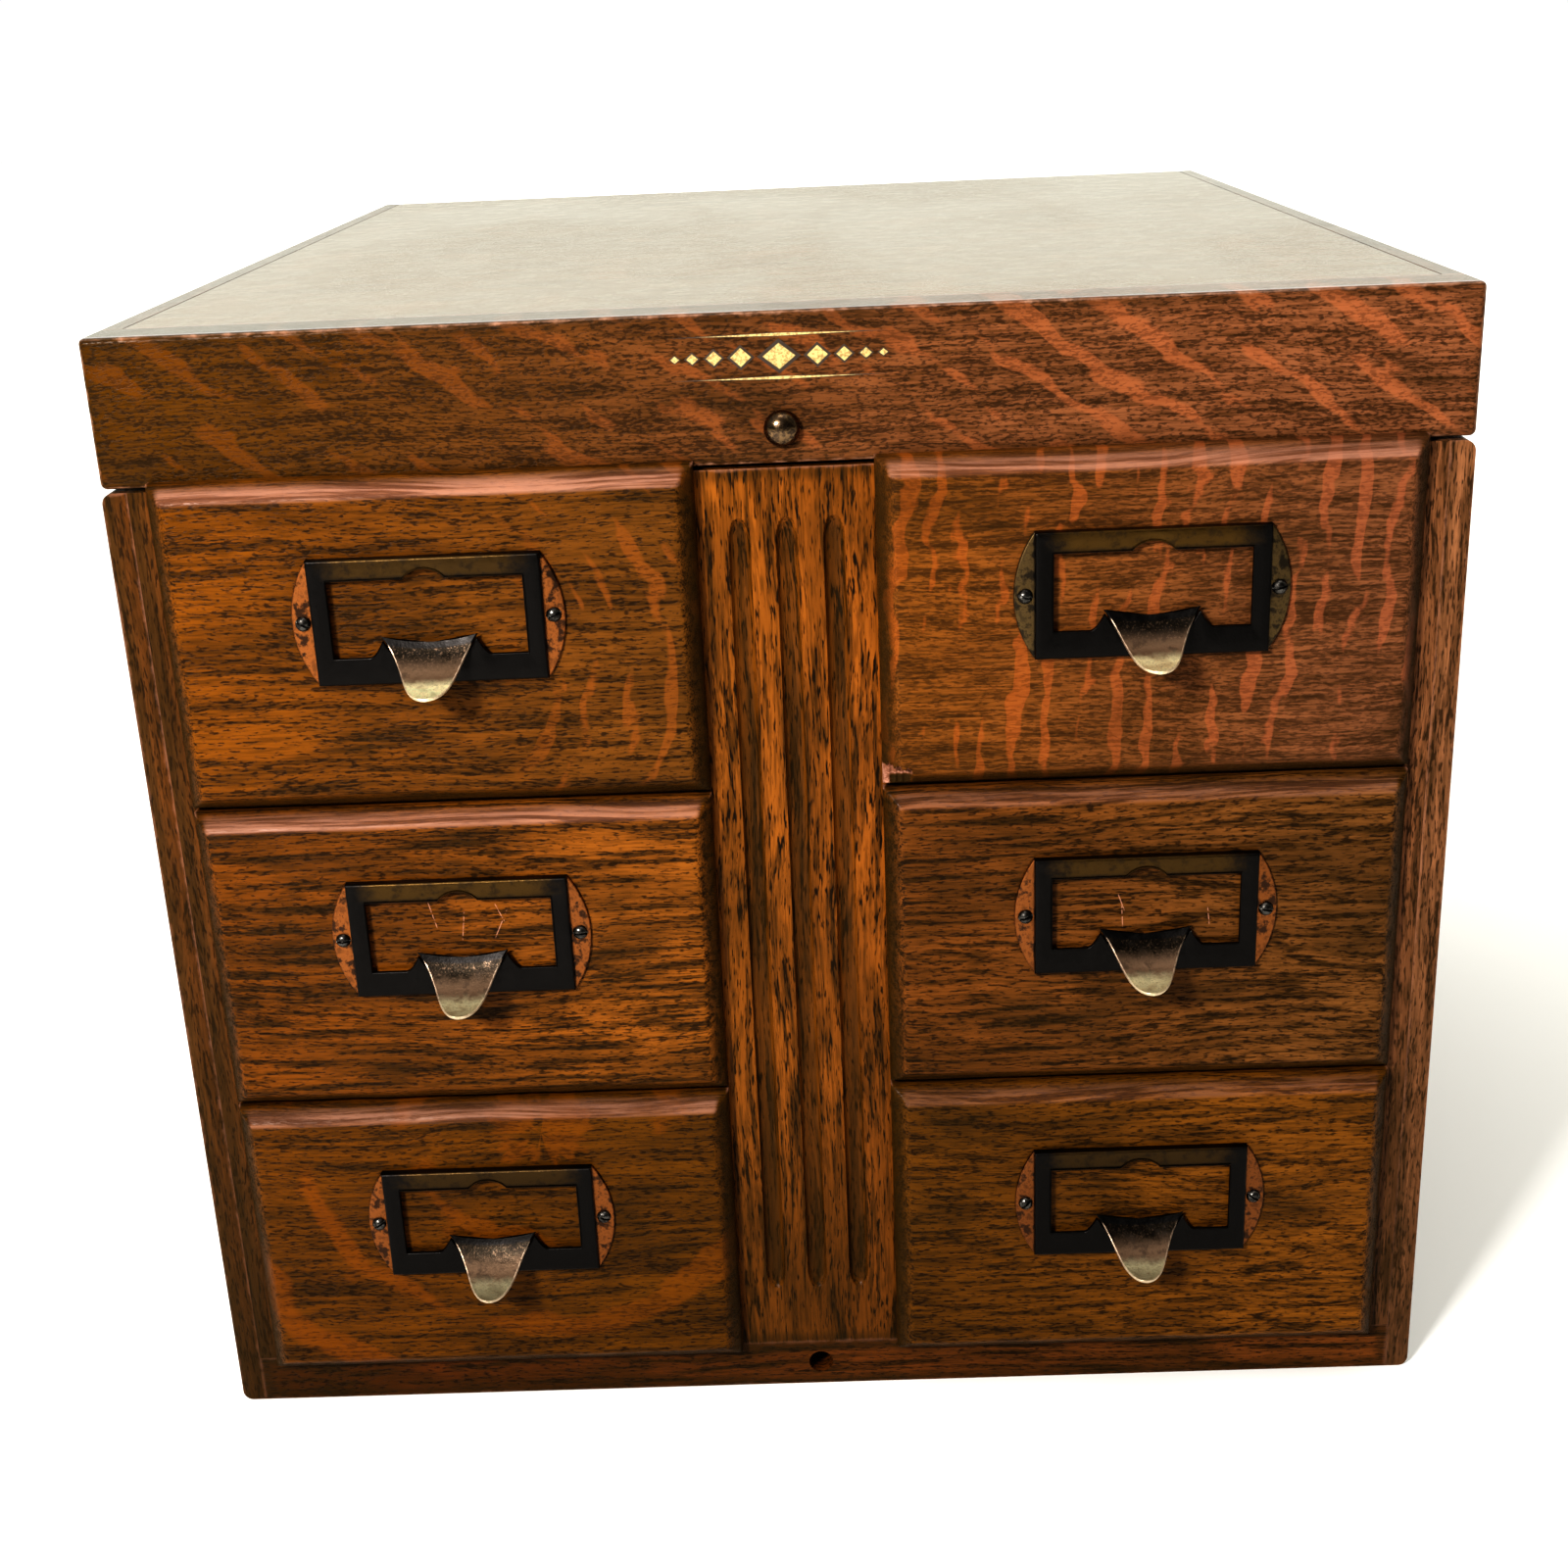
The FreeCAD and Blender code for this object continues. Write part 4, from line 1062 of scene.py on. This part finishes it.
@dataclass
class LippedFront:
    """One lipped drawer front with mitred bevels, soft arrises and a tenon behind."""

    drawer: str
    oak: Oak
    chipped: bool = False
    # How strong the painted highlight along the top bevel is.
    painted_highlight: float = 0.35
    bevel_mm: float = 5.0
    lip_mm: float = 9.0
    tenon_mm: tuple[float, float, float] = (153.0, 10.0, 94.0)
    edges_mm: tuple[float, ...] = (
        *(0, 0.2, 0.5, 0.9, 1.5, 2.2, 3.0, 3.8),
        *(4.4, 4.8, 5.2, 5.7, 6.4, 7.4, 9.0, 11.0),
    )

    def relief(self, x: np.ndarray, z: np.ndarray, half_x: float, half_z: float) -> np.ndarray:
        """How far the face lies behind its highest plane, in mm.

        The distance d to the nearest edge is a soft minimum of the two distances. The bevel is
        k * ln(1 + exp((5 - d) / k)), a slope that flattens softly, and a small rounding is added at
        the outermost edge. Slow waves along the edges give the arris its handled look.
        """
        to_side = half_x - np.abs(x)
        to_end = half_z - np.abs(z)
        soft = 0.35
        near = -soft * np.logaddexp(-to_side / soft, -to_end / soft)
        wave = 0.18 * np.sin(x * 0.21 + 1.3 * self.oak.seed) * np.sin(z * 0.17 + self.oak.seed)
        ease = 0.55
        bevel = ease * np.logaddexp(0.0, (self.bevel_mm + wave - near) / ease)
        return bevel * 0.97 + 0.9 * np.exp(-np.clip(near, 0, None) / 0.4)

    def break_out(self, x: np.ndarray, z: np.ndarray, half_x: float, half_z: float) -> np.ndarray:
        """Where a splinter has come away from the lower left corner: 1 in the break, 0 outside it."""
        across, up = x + half_x, z + half_z
        ragged = 0.5 * np.sin(across * 2.1) + 0.35 * np.sin(across * 5.3 + 1.0)
        reach = 1 - smooth_step(across + 0.4 * ragged, 8.2, 9.6)
        return reach * (1 - smooth_step(up + ragged + 0.2 * across, 7.2, 7.9))

    def build(self) -> None:
        """Makes the front where the frame's own front is, and lets it stand for that node."""
        node = f"{self.drawer}_front"
        low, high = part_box(node)
        middle = (np.array(low) + np.array(high)) / 2
        half_x, half_z = (high.x - low.x) / 2 / MM, (high.z - low.z) / 2 / MM
        edges = list(self.edges_mm)
        if self.chipped:
            edges = sorted({*edges, *np.arange(0.0, 10.0, 0.4).round(3)})
        x = spread_lines(half_x, edges, 5.0)
        z = spread_lines(half_z, edges, 5.0)
        grid_x, grid_z = np.meshgrid(x, z, indexing="ij")
        depth = self.relief(grid_x, grid_z, half_x, half_z)
        to_top = half_z - grid_z
        # Painted shade on the side and bottom bevels, none on the top one.
        edge_reach = np.clip(np.minimum(half_x - np.abs(grid_x), half_z + grid_z), 0, None)
        mark = -0.8 * (1 - smooth_step(edge_reach, 0.5, 5.4)) * smooth_step(to_top, 1.0, 5.0)
        # A painted highlight in a band along the top bevel, kept off its ends.
        band = smooth_step(to_top, 0.0, 3.5) * (1 - smooth_step(to_top, 5.0, 6.6))
        pale_edge = band * smooth_step(edge_reach, 2.0, 5.0)
        mark = mark + self.painted_highlight * pale_edge
        if self.chipped:
            gone = self.break_out(grid_x, grid_z, half_x, half_z)
            floor = 6.6 + 0.25 * np.sin(grid_x * 3.1) + 0.05 * grid_z
            depth = depth + gone * np.clip(np.minimum(floor, self.lip_mm - 0.8) - depth, 0, None)
            # Pale raw wood in the break, and painted shadow in the hole at its foot.
            painted_shade = smooth_step(grid_z + half_z, 4.2, 3.2) * smooth_step(grid_x + half_x, 1.5, 3.0)
            mark = np.where(gone > 0.02, gone * (1 - 1.9 * painted_shade), mark)
        shell = Shell()
        front = low.y + depth * MM
        add_carved_board(shell, middle[0] + x * MM, middle[2] + z * MM, front, low.y + self.lip_mm * MM, mark)
        width, deep, tall = (size * MM for size in self.tenon_mm)
        start = low.y + (self.lip_mm - 0.2) * MM
        add_block(
            shell,
            (middle[0] - width / 2, start, middle[2] - tall / 2),
            (middle[0] + width / 2, high.y, middle[2] + tall / 2),
            0.6 * MM,
        )
        piece = shell.piece(f"{self.drawer}_lipped_front", 60.0)
        settle(piece, f"{self.drawer}_drawer", "front_oak", self.oak.material(low, high), node)


@dataclass
class FlutedStile:
    """The centre stile with three stopped flutes that run out at both ends."""

    oak: Oak
    spacing_mm: float = 14.6
    half_width_mm: float = 3.35
    depth_mm: float = 2.3
    foot_mm: float = 23.0
    head_mm: float = 15.5
    run_out_mm: float = 9.0

    def carve(self, x: np.ndarray, z: np.ndarray, first: float, last: float) -> np.ndarray:
        """The depth of the flutes between two heights, in mm.

        Across, a flute is the arc depth * sqrt(1 - (x / half)^2). At each end the cutter rises out on
        an arc of its own, so both the depth and the width fade as the root of the share left.
        """
        end = np.minimum(z - first, last - z) / self.run_out_mm
        fade = np.sqrt(np.clip(1 - (1 - np.clip(end, 0, 1)) ** 2, 0, 1))
        half = np.maximum(self.half_width_mm * fade**0.8, 1e-3)
        near = np.min([np.abs(x - line * self.spacing_mm) for line in (-1, 0, 1)], axis=0)
        return self.depth_mm * fade * np.sqrt(np.clip(1 - (near / half) ** 2, 0, None))

    def build(self) -> None:
        """Makes the stile where the frame's own stile is, and lets it stand for that node."""
        low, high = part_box("centre_stile")
        half = (high.x - low.x) / 2 / MM
        flute = self.half_width_mm * np.sin(np.linspace(-np.pi / 2, np.pi / 2, 17))
        flute = np.concatenate([[-self.half_width_mm - 0.05], flute, [self.half_width_mm + 0.05]])
        lines = [line * self.spacing_mm + flute for line in (-1, 0, 1)]
        sides = [-half, 0.3 - half, 1 - half, half - 1, half - 0.3, half]
        x = np.unique(np.concatenate([sides, *lines]).round(6))
        first, last = round(low.z / MM + self.foot_mm, 3), round(high.z / MM - self.head_mm, 3)
        ends = np.linspace(first - 0.5, first + self.run_out_mm, 26)
        tops = last + first - ends
        body = np.linspace(low.z / MM, high.z / MM, 24)
        z = np.unique(np.concatenate([ends, tops, body]).round(6))
        grid_x, grid_z = np.meshgrid(x, z, indexing="ij")
        round_edge = 0.5 * np.exp(-np.clip(half - np.abs(grid_x), 0, None) / 0.4)
        flutes = self.carve(grid_x, grid_z, first, last)
        depth = flutes + round_edge
        shell = Shell()
        # The negative mark paints shade in the flutes, deepest along their bottoms.
        add_carved_board(shell, x * MM, z * MM, low.y + depth * MM, high.y, -0.62 * flutes / self.depth_mm)
        piece = shell.piece("fluted_centre_stile", 35.0)
        settle(piece, "case", "case_oak", self.oak.material(low, high), "centre_stile")


@dataclass
class LockingPin:
    """The domed pin through the cap's front, which locks the cap to the case."""

    finish: bpy.types.Material
    radius_mm: float = 5.6
    collar_mm: float = 5.2
    shank_mm: float = 3.9
    tip_mm: float = 3.5

    def build(self) -> None:
        """Turns the dome and shank where the frame's own pin is, and lets it stand for that node."""
        low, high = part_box("cap_locking_pin")
        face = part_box("cap_front_fascia")[0].y
        middle = np.array([(low.x + high.x) / 2, face, (low.z + high.z) / 2])
        proud = (face - low.y) / MM
        turn = np.linspace(0, np.pi / 2, 14)
        dome_r = self.radius_mm * np.sin(turn)
        dome_out = proud * (0.16 + 0.84 * np.cos(turn))
        shank = (high.y - face) / MM
        rings = [self.collar_mm, self.shank_mm, self.shank_mm, self.tip_mm]
        radius = np.concatenate([[1e-4], dome_r[1:], rings, [1e-4]])
        reach = np.concatenate([[proud], dome_out[1:], [0.0, -0.2, 0.5 - shank, -shank, -shank]])
        shell = Shell()
        add_turning(shell, middle, radius * MM, reach * MM, 48)
        piece = shell.piece("domed_locking_pin", 45.0)
        settle(piece, "locking_pin", "pin_brass", self.finish, "cap_locking_pin")


@dataclass
class GiltOrnament:
    """A plain transferred ornament on the fascia: a row of lozenges between two tapered rules."""

    finish: bpy.types.Material
    drop_mm: float = 13.5
    middle_mm: tuple[float, float] = (6.6, 5.2)
    beside_mm: tuple[Triple, ...] = ((11.5, 4.2, 3.8), (19.5, 3.2, 2.9), (26.0, 2.4, 2.1), (31.2, 1.8, 1.4))
    rule_mm: Triple = (6.4, 33.0, 0.62)

    def build(self) -> None:
        """Lays the lozenges on the fascia's face.

        A lozenge is the point (a r c|c|, b r s|s|) for a share r from 0 to 1 and the cosine c and
        sine s of an angle, and it rises by 0.12 mm from its rim to its middle.
        """
        low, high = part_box("cap_front_fascia")
        face, centre_z = low.y, high.z - self.drop_mm * MM
        turn = np.linspace(0, 2 * np.pi, 32, endpoint=False)
        share, angle = np.meshgrid(np.linspace(0, 1, 9), turn, indexing="ij")
        c, s = np.cos(angle), np.sin(angle)
        shell = Shell()
        off, *rule = self.rule_mm
        rows = [(0.0, 0.0, *self.middle_mm)]
        rows += [(side * x, 0.0, *size) for x, *size in self.beside_mm for side in (1, -1)]
        rows += [(0.0, side * off, *rule) for side in (-1, 1)]
        for x, z, half_wide, half_high in rows:
            flat_x = x + half_wide * share * c * np.abs(c)
            flat_z = z + half_high * share * s * np.abs(s)
            height = 0.05 + 0.12 * (1 - share)
            front = np.stack([flat_x * MM, face - height * MM, centre_z + flat_z * MM], -1)
            foot = front[-1:].copy()
            foot[..., 1] = face + 0.05 * MM
            mark = np.concatenate([share.ravel(), np.ones(32)])
            shell.add_loops(np.concatenate([front, foot]), mark)
        piece = shell.piece("gilt_lozenge_ornament", 30.0)
        settle(piece, "case", "case_oak", self.finish)


def evenly(*tone: float) -> dict[str, tuple[float, ...]]:
    """One tone for both sides of a board."""
    return {"left_tone": tone, "right_tone": tone}


@dataclass
class Cabinet:
    """The whole cabinet: which finish goes on which board, and the pieces that are made again."""

    case: dict[str, Oak] = field(default_factory=dict)
    fronts: dict[str, Oak] = field(default_factory=dict)
    lugs: dict[str, tuple[Colour, float, float, float]] = field(default_factory=dict)
    painted_highlights: dict[str, float] = field(default_factory=dict)

    def __post_init__(self) -> None:
        """Chooses the boards. Each drawer front and case board has its own tone and figure."""
        cap = Oak("cap_oak", Grain.FRONT_TO_BACK, 3.0, edge_wear_and_highlight=0.7, gloss=1.0)
        upright = Oak("upright_oak", Grain.UPRIGHT, 1.0, pore_length_mm=7.0, pore_width_mm=0.9, streaks=0.55)
        upright = replace(upright, edge_wear_and_highlight=0.25, foot_shade=0.55)
        self.case = {
            "cap_front_fascia": Oak(
                "fascia_oak",
                seed=2.0,
                left_tone=(0.078, 0.0290, 0.0006),
                right_tone=(0.215, 0.0830, 0.0350),
                ray_gain=(1.5, 1.25, 1.1),
                streaks=0.4,
                fibre=0.6,
                pores=0.66,
                pore_length_mm=3.4,
                pore_width_mm=0.42,
                pore_cover=0.74,
                rays=Rays(lean=33.0, spacing_mm=13.0, length_mm=55.0, cover=0.42, waver=0.16, strength=0.55),
                edge_wear_and_highlight=0.8,
                edge_wear_and_highlight_width_mm=1.3,
                worn_and_highlight_tone=(0.42, 0.22, 0.14),
                edge_dark=0.25,
                gloss=1.0,
            ),
            "cap_left_rail": replace(cap, name="left_cap_oak", seed=3.0),
            "cap_right_rail": replace(cap, name="right_cap_oak", seed=4.0),
            "cap_back_rail": replace(cap, name="back_cap_oak", seed=5.0, grain=Grain.ACROSS, gloss=0.0),
            "cap_top_panel": Oak(
                "top_oak",
                seed=6.0,
                **evenly(0.165, 0.0850, 0.0210),
                streaks=0.3,
                fibre=0.2,
                pores=0.2,
                rays=Rays(lean=25.0, spacing_mm=24.0, length_mm=90.0, cover=0.35, waver=0.2, strength=0.15),
                smudges=0.15,
                edge_wear_and_highlight=0.2,
                edge_dark=0.5,
                edge_dark_width_mm=1.6,
                rough=0.3,
                specular=0.15,
                gloss=1.0,
                gloss_depth_mm=4.0,
                relief_mm=0.015,
            ),
            "centre_stile": replace(
                upright,
                name="stile_oak",
                seed=7.0,
                left_tone=(0.250, 0.0820, 0.0090),
                right_tone=(0.255, 0.0800, 0.0090),
                foot_shade=0.6,
                streaks=0.8,
                streak_width_mm=3.4,
                pores=1.0,
                pore_length_mm=9.0,
                pore_width_mm=1.1,
                pore_cover=0.52,
                edge_dark=0.5,
                edge_wear_and_highlight=0.3,
            ),
            "bottom_rail": Oak(
                "bottom_rail_oak", seed=8.0, edge_wear_and_highlight=0.1,
                left_tone=(0.070, 0.0187, 0.0015), edge_dark=0.6, streaks=0.95,
            ),
            "left_side_panel": replace(
                upright, name="left_side_oak", seed=9.0, left_tone=(0.101, 0.0429, 0.0105),
            ),
            "right_side_panel": replace(
                upright, name="right_side_oak", seed=10.0, **evenly(0.31, 0.135, 0.060),
            ),
            "left_carcass_side": replace(
                upright, name="left_carcass_oak", seed=11.0, edge_wear_and_highlight=0.0, left_tone=(0.086, 0.0351, 0.0074),
            ),
            "right_carcass_side": replace(
                upright, name="right_carcass_oak", seed=12.0, edge_wear_and_highlight=0.0, **evenly(0.28, 0.115, 0.048),
            ),
            "back_panel": replace(upright, name="back_oak", seed=13.0, streaks=0.4),
            "bottom_board": Oak("bottom_oak", seed=14.0, edge_wear_and_highlight=0.2, edge_dark=0.6),
        }
        plain = Oak("plain", streaks=0.85, streak_width_mm=3.0, streak_length_mm=90.0, edge_dark=0.5, edge_wear_and_highlight=0.4)
        self.fronts = {
            "upper_left": replace(
                plain,
                name="upper_left_oak",
                seed=21.0,
                left_tone=(0.160, 0.0510, 0.0020),
                right_tone=(0.128, 0.0480, 0.0060),
                streaks=0.7,
                rays=Rays(
                    Figure.ARCS,
                    spacing_mm=12.0,
                    length_mm=60.0,
                    cover=0.45,
                    waver=0.22,
                    strength=0.5,
                    centre_mm=(-14.0, -11.25),
                    starts_mm=16.0,
                ),
            ),
            "upper_right": replace(
                plain,
                name="upper_right_oak",
                seed=22.0,
                left_tone=(0.180, 0.0625, 0.0085),
                right_tone=(0.172, 0.0680, 0.0285),
                streaks=0.45,
                ray_gain=(1.55, 1.2, 1.2),
                fibre=0.6,
                pore_width_mm=0.30,
                pore_length_mm=4.5,
                pore_cover=0.8,
                pores=0.5,
                rays=Rays(lean=94.0, spacing_mm=10.0, length_mm=60.0, cover=0.46, waver=0.28, strength=0.55),
            ),
            "middle_left": replace(
                plain,
                name="middle_left_oak",
                seed=23.0,
                left_tone=(0.136, 0.0420, 0.0025),
                right_tone=(0.225, 0.0760, 0.0080),
                streaks=0.88,
                streak_width_mm=2.3,
                scratches=scatter_scratches("middle_left", 4, 5),
            ),
            "middle_right": replace(
                plain,
                name="middle_right_oak",
                seed=24.0,
                left_tone=(0.140, 0.0470, 0.0070),
                right_tone=(0.147, 0.0605, 0.0140),
                streaks=0.9,
                streak_width_mm=1.7,
                streak_length_mm=55.0,
                scratches=scatter_scratches("middle_right", 3, 8),
            ),
            "lower_left": replace(
                plain,
                name="lower_left_oak",
                seed=25.0,
                left_tone=(0.113, 0.0370, 0.0006),
                right_tone=(0.097, 0.0350, 0.0008),
                streaks=0.75,
                rays=Rays(
                    Figure.ARCS,
                    spacing_mm=36.0,
                    length_mm=120.0,
                    cover=0.5,
                    waver=0.12,
                    strength=0.4,
                    centre_mm=(19.5, 41.75),
                ),
            ),
            "lower_right": replace(
                plain,
                name="lower_right_oak",
                seed=26.0,
                left_tone=(0.104, 0.0385, 0.0020),
                right_tone=(0.176, 0.0640, 0.0055),
                streaks=0.75,
                streak_width_mm=1.9,
                streak_length_mm=45.0,
                pore_width_mm=0.45,
            ),
        }
        # How strong the painted highlight on each front's top bevel is.
        self.painted_highlights = dict(zip(self.fronts, (0.62, 0.5, 0.5, 0.25, 0.4, 0.2)))
        # For each drawer: the lug tone, the lug share, the top border's share, and the shine that scales the
        # painted highlight at its tongue's tip and the tongue's middle tone.
        orange, olive = (0.30, 0.108, 0.030), (0.16, 0.104, 0.042)
        self.lugs = {
            "upper_left": (orange, 0.9, 0.6, 1.2),
            "upper_right": (olive, 0.6, 0.9, 1.0),
            "middle_left": (orange, 0.8, 0.7, 0.6),
            "middle_right": (orange, 0.75, 0.7, 0.8),
            "lower_left": (orange, 0.75, 0.5, 0.4),
            "lower_right": (orange, 0.6, 0.5, 0.5),
        }

    def dress_case(self, frame: dict) -> None:
        """Finishes the boards that the frame keeps, inside and out."""
        raw = Oak(
            "inner_wood",
            Grain.FRONT_TO_BACK,
            **evenly(0.40, 0.22, 0.095),
            dark=(0.2, 0.09, 0.03),
            pore=(0.12, 0.05, 0.018),
            pores=0.55,
            streaks=0.45,
            smudges=0.2,
            edge_wear_and_highlight=0.1,
            edge_dark=0.25,
            rough=0.6,
            specular=0.25,
        )
        tray = replace(raw, name="tray_wood", **evenly(0.50, 0.31, 0.15))
        for index, (name, node) in enumerate(sorted(frame["nodes"].items())):
            if node.hide_render:
                continue
            low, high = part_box(name)
            stem = name.rsplit("_", 1)[-1]
            if name in self.case:
                oak = self.case[name]
            elif stem in ("sides", "bottom", "follower", "back") and name.count("_") == 2:
                turn = Grain.ACROSS if stem in ("back", "follower") else Grain.FRONT_TO_BACK
                oak = replace(tray, name=f"{name}_wood", seed=40.0 + index, grain=turn)
            else:
                oak = replace(raw, name=f"{name}_wood", seed=40.0 + index)
            dress(node, oak.material(low, high))
            LOG.info("%s: finished in %s", name, oak.name)

    def build(self, frame: dict) -> None:
        """Makes the pieces in order, then finishes the boards that are left."""
        steel = TurnedMetal("screw_steel", (0.085, 0.080, 0.074), (0.022, 0.020, 0.018)).material()
        brass = TurnedMetal("pin_brass", (0.17, 0.110, 0.060), (0.060, 0.042, 0.030), 0.2).material()
        FlutedStile(self.case["centre_stile"]).build()
        for index, (drawer, oak) in enumerate(self.fronts.items()):
            LippedFront(drawer, oak, chipped=drawer == "upper_right", painted_highlight=self.painted_highlights[drawer]).build()
            low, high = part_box(f"{drawer}_pull")
            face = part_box(f"{drawer}_front")[0].y
            centre = ((low.x + high.x) / 2, face, high.z - 0.020)
            lug, lug_share, border_share, shine = self.lugs[drawer]
            patina = PullPatina(
                f"{drawer}_patina",
                centre,
                3.1 * index,
                lug,
                lug_share=lug_share,
                border_share=border_share,
                middle=tuple((0.4 + 0.5 * shine) * value for value in (0.21, 0.135, 0.088)),
                gold=tuple(shine * value for value in (0.95, 0.86, 0.56)),
            )
            LabelPull(drawer, patina).build()
            RoundHeadScrews(drawer, centre, steel, (0.25 * index - 0.5, 0.4 - 0.2 * index)).build()
        LockingPin(brass).build()
        GiltOrnament(Gilding().material()).build()
        self.dress_case(frame)


@dataclass
class Studio:
    """A pale floor, a soft bright room behind and above, and a soft key light from the upper left."""

    floor_tone: Colour = (0.86, 0.86, 0.85)
    behind: Colour = (0.96, 0.955, 0.83)
    before: Colour = (0.08, 0.08, 0.08)
    lens_mm: float = 47.14
    sensor_mm: float = 36.0
    camera_spot: Triple = (0.01023, -0.86039, 0.45931)
    camera_right: Triple = (0.99910, 0.00785, -0.04160)
    camera_ahead: Triple = (-0.02181, 0.93766, -0.34687)

    def build_floor(self) -> None:
        """Lays the floor under the cabinet."""
        shell = Shell()
        shell.add([(-9, -9, 0), (9, -9, 0), (9, 9, 0), (-9, 9, 0)], [[0, 1, 2, 3]])
        floor = shell.piece("studio_floor")
        mixer = FinishMixer("studio_floor")
        haze = mixer.noise(mixer.placed(), (3.0, 3.0, 3.0), 2.0)
        pale = tuple(value * 0.985 for value in self.floor_tone)
        tone = mixer.blend(mixer.window(haze, 0.3, 0.7), self.floor_tone, pale)
        dress(floor, mixer.finish(tone, 0.9, Specular_IOR_Level=0.1))

    def build_world(self) -> None:
        """Lights the room: brightest behind and above, dim in front; the backdrop itself is white."""
        world = bpy.data.worlds.new("studio_world")
        bpy.context.scene.world = world
        world.use_nodes = True
        table = NodeTable(world.node_tree)
        _, y, z = table.parts(table.node("ShaderNodeTexCoord").outputs["Generated"])
        share = table.window(table.plus(table.times(z, 0.7), y), -0.55, 0.75)
        room, plain = (table.node("ShaderNodeBackground") for _ in range(2))
        table.feed(room.inputs["Color"], table.blend(share, self.before, self.behind))
        table.feed(plain.inputs["Color"], (1.0, 1.0, 1.0, 1.0))
        pick = table.node("ShaderNodeMixShader")
        seen = table.node("ShaderNodeLightPath").outputs["Is Camera Ray"]
        for socket, value in zip(pick.inputs, (seen, room.outputs[0], plain.outputs[0])):
            table.feed(socket, value)
        table.feed(table.node("ShaderNodeOutputWorld").inputs["Surface"], pick.outputs[0])

    def add_light(
        self, name: str, spot: Triple, aim: Triple, size: tuple[float, float], power: float, tint: Colour
    ) -> None:
        """Hangs one soft rectangular light and aims it."""
        light = bpy.data.lights.new(name, "AREA")
        light.shape = "RECTANGLE"
        light.size, light.size_y = size
        light.energy = power
        light.color = tint
        lamp = bpy.data.objects.new(name, light)
        lamp.location = spot
        lamp.rotation_euler = (Vector(aim) - Vector(spot)).to_track_quat("-Z", "Y").to_euler()
        bpy.context.scene.collection.objects.link(lamp)

    def add_camera(self) -> None:
        """Stands the camera in front, a little above the cabinet's top, and looks down at it."""
        camera = bpy.data.cameras.new("camera")
        camera.lens, camera.sensor_width = self.lens_mm, self.sensor_mm
        camera.clip_start, camera.clip_end = 0.05, 60.0
        stand = bpy.data.objects.new("camera", camera)
        right = Vector(self.camera_right)
        ahead = Vector(self.camera_ahead).normalized()
        up = right.cross(ahead).normalized()
        right = ahead.cross(up)
        turn = Matrix((right, up, -ahead)).transposed().to_4x4()
        stand.matrix_world = Matrix.Translation(self.camera_spot) @ turn
        bpy.context.scene.collection.objects.link(stand)
        bpy.context.scene.camera = stand

    def build(self) -> None:
        """Sets up the camera, the floor, the room and the lights."""
        self.add_camera()
        self.build_floor()
        self.build_world()
        self.add_light("key", (-0.62, -1.27, 0.92), (0.0, -0.24, 0.2), (0.24, 0.18), 40.0, (1.0, 0.97, 0.93))
        self.add_light("overhead", (0.0, -0.75, 1.9), (0.0, -0.2, 0.3), (1.2, 0.5), 6.0, (1.0, 0.95, 0.94))
        self.add_light("backlight", (0.0, 5.6, 3.6), (0.0, 5.6, 0.0), (12.0, 8.0), 720.0, (1.0, 1.0, 1.0))
        view = bpy.context.scene.view_settings
        view.view_transform = "Standard"
        view.look = "High Contrast"
        view.exposure = -0.5
        LOG.info("studio set")


def corners(bounds: tuple[Vector, Vector]) -> list[list[float]]:
    """A pair of corners as plain lists."""
    return [[float(value) for value in corner] for corner in bounds]


def main() -> None:
    """Builds the cabinet and the studio."""
    logging.basicConfig(level=logging.INFO, format="%(message)s")
    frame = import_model()
    Studio().build()
    Cabinet().build(frame)


if __name__ == "__main__":
    main()
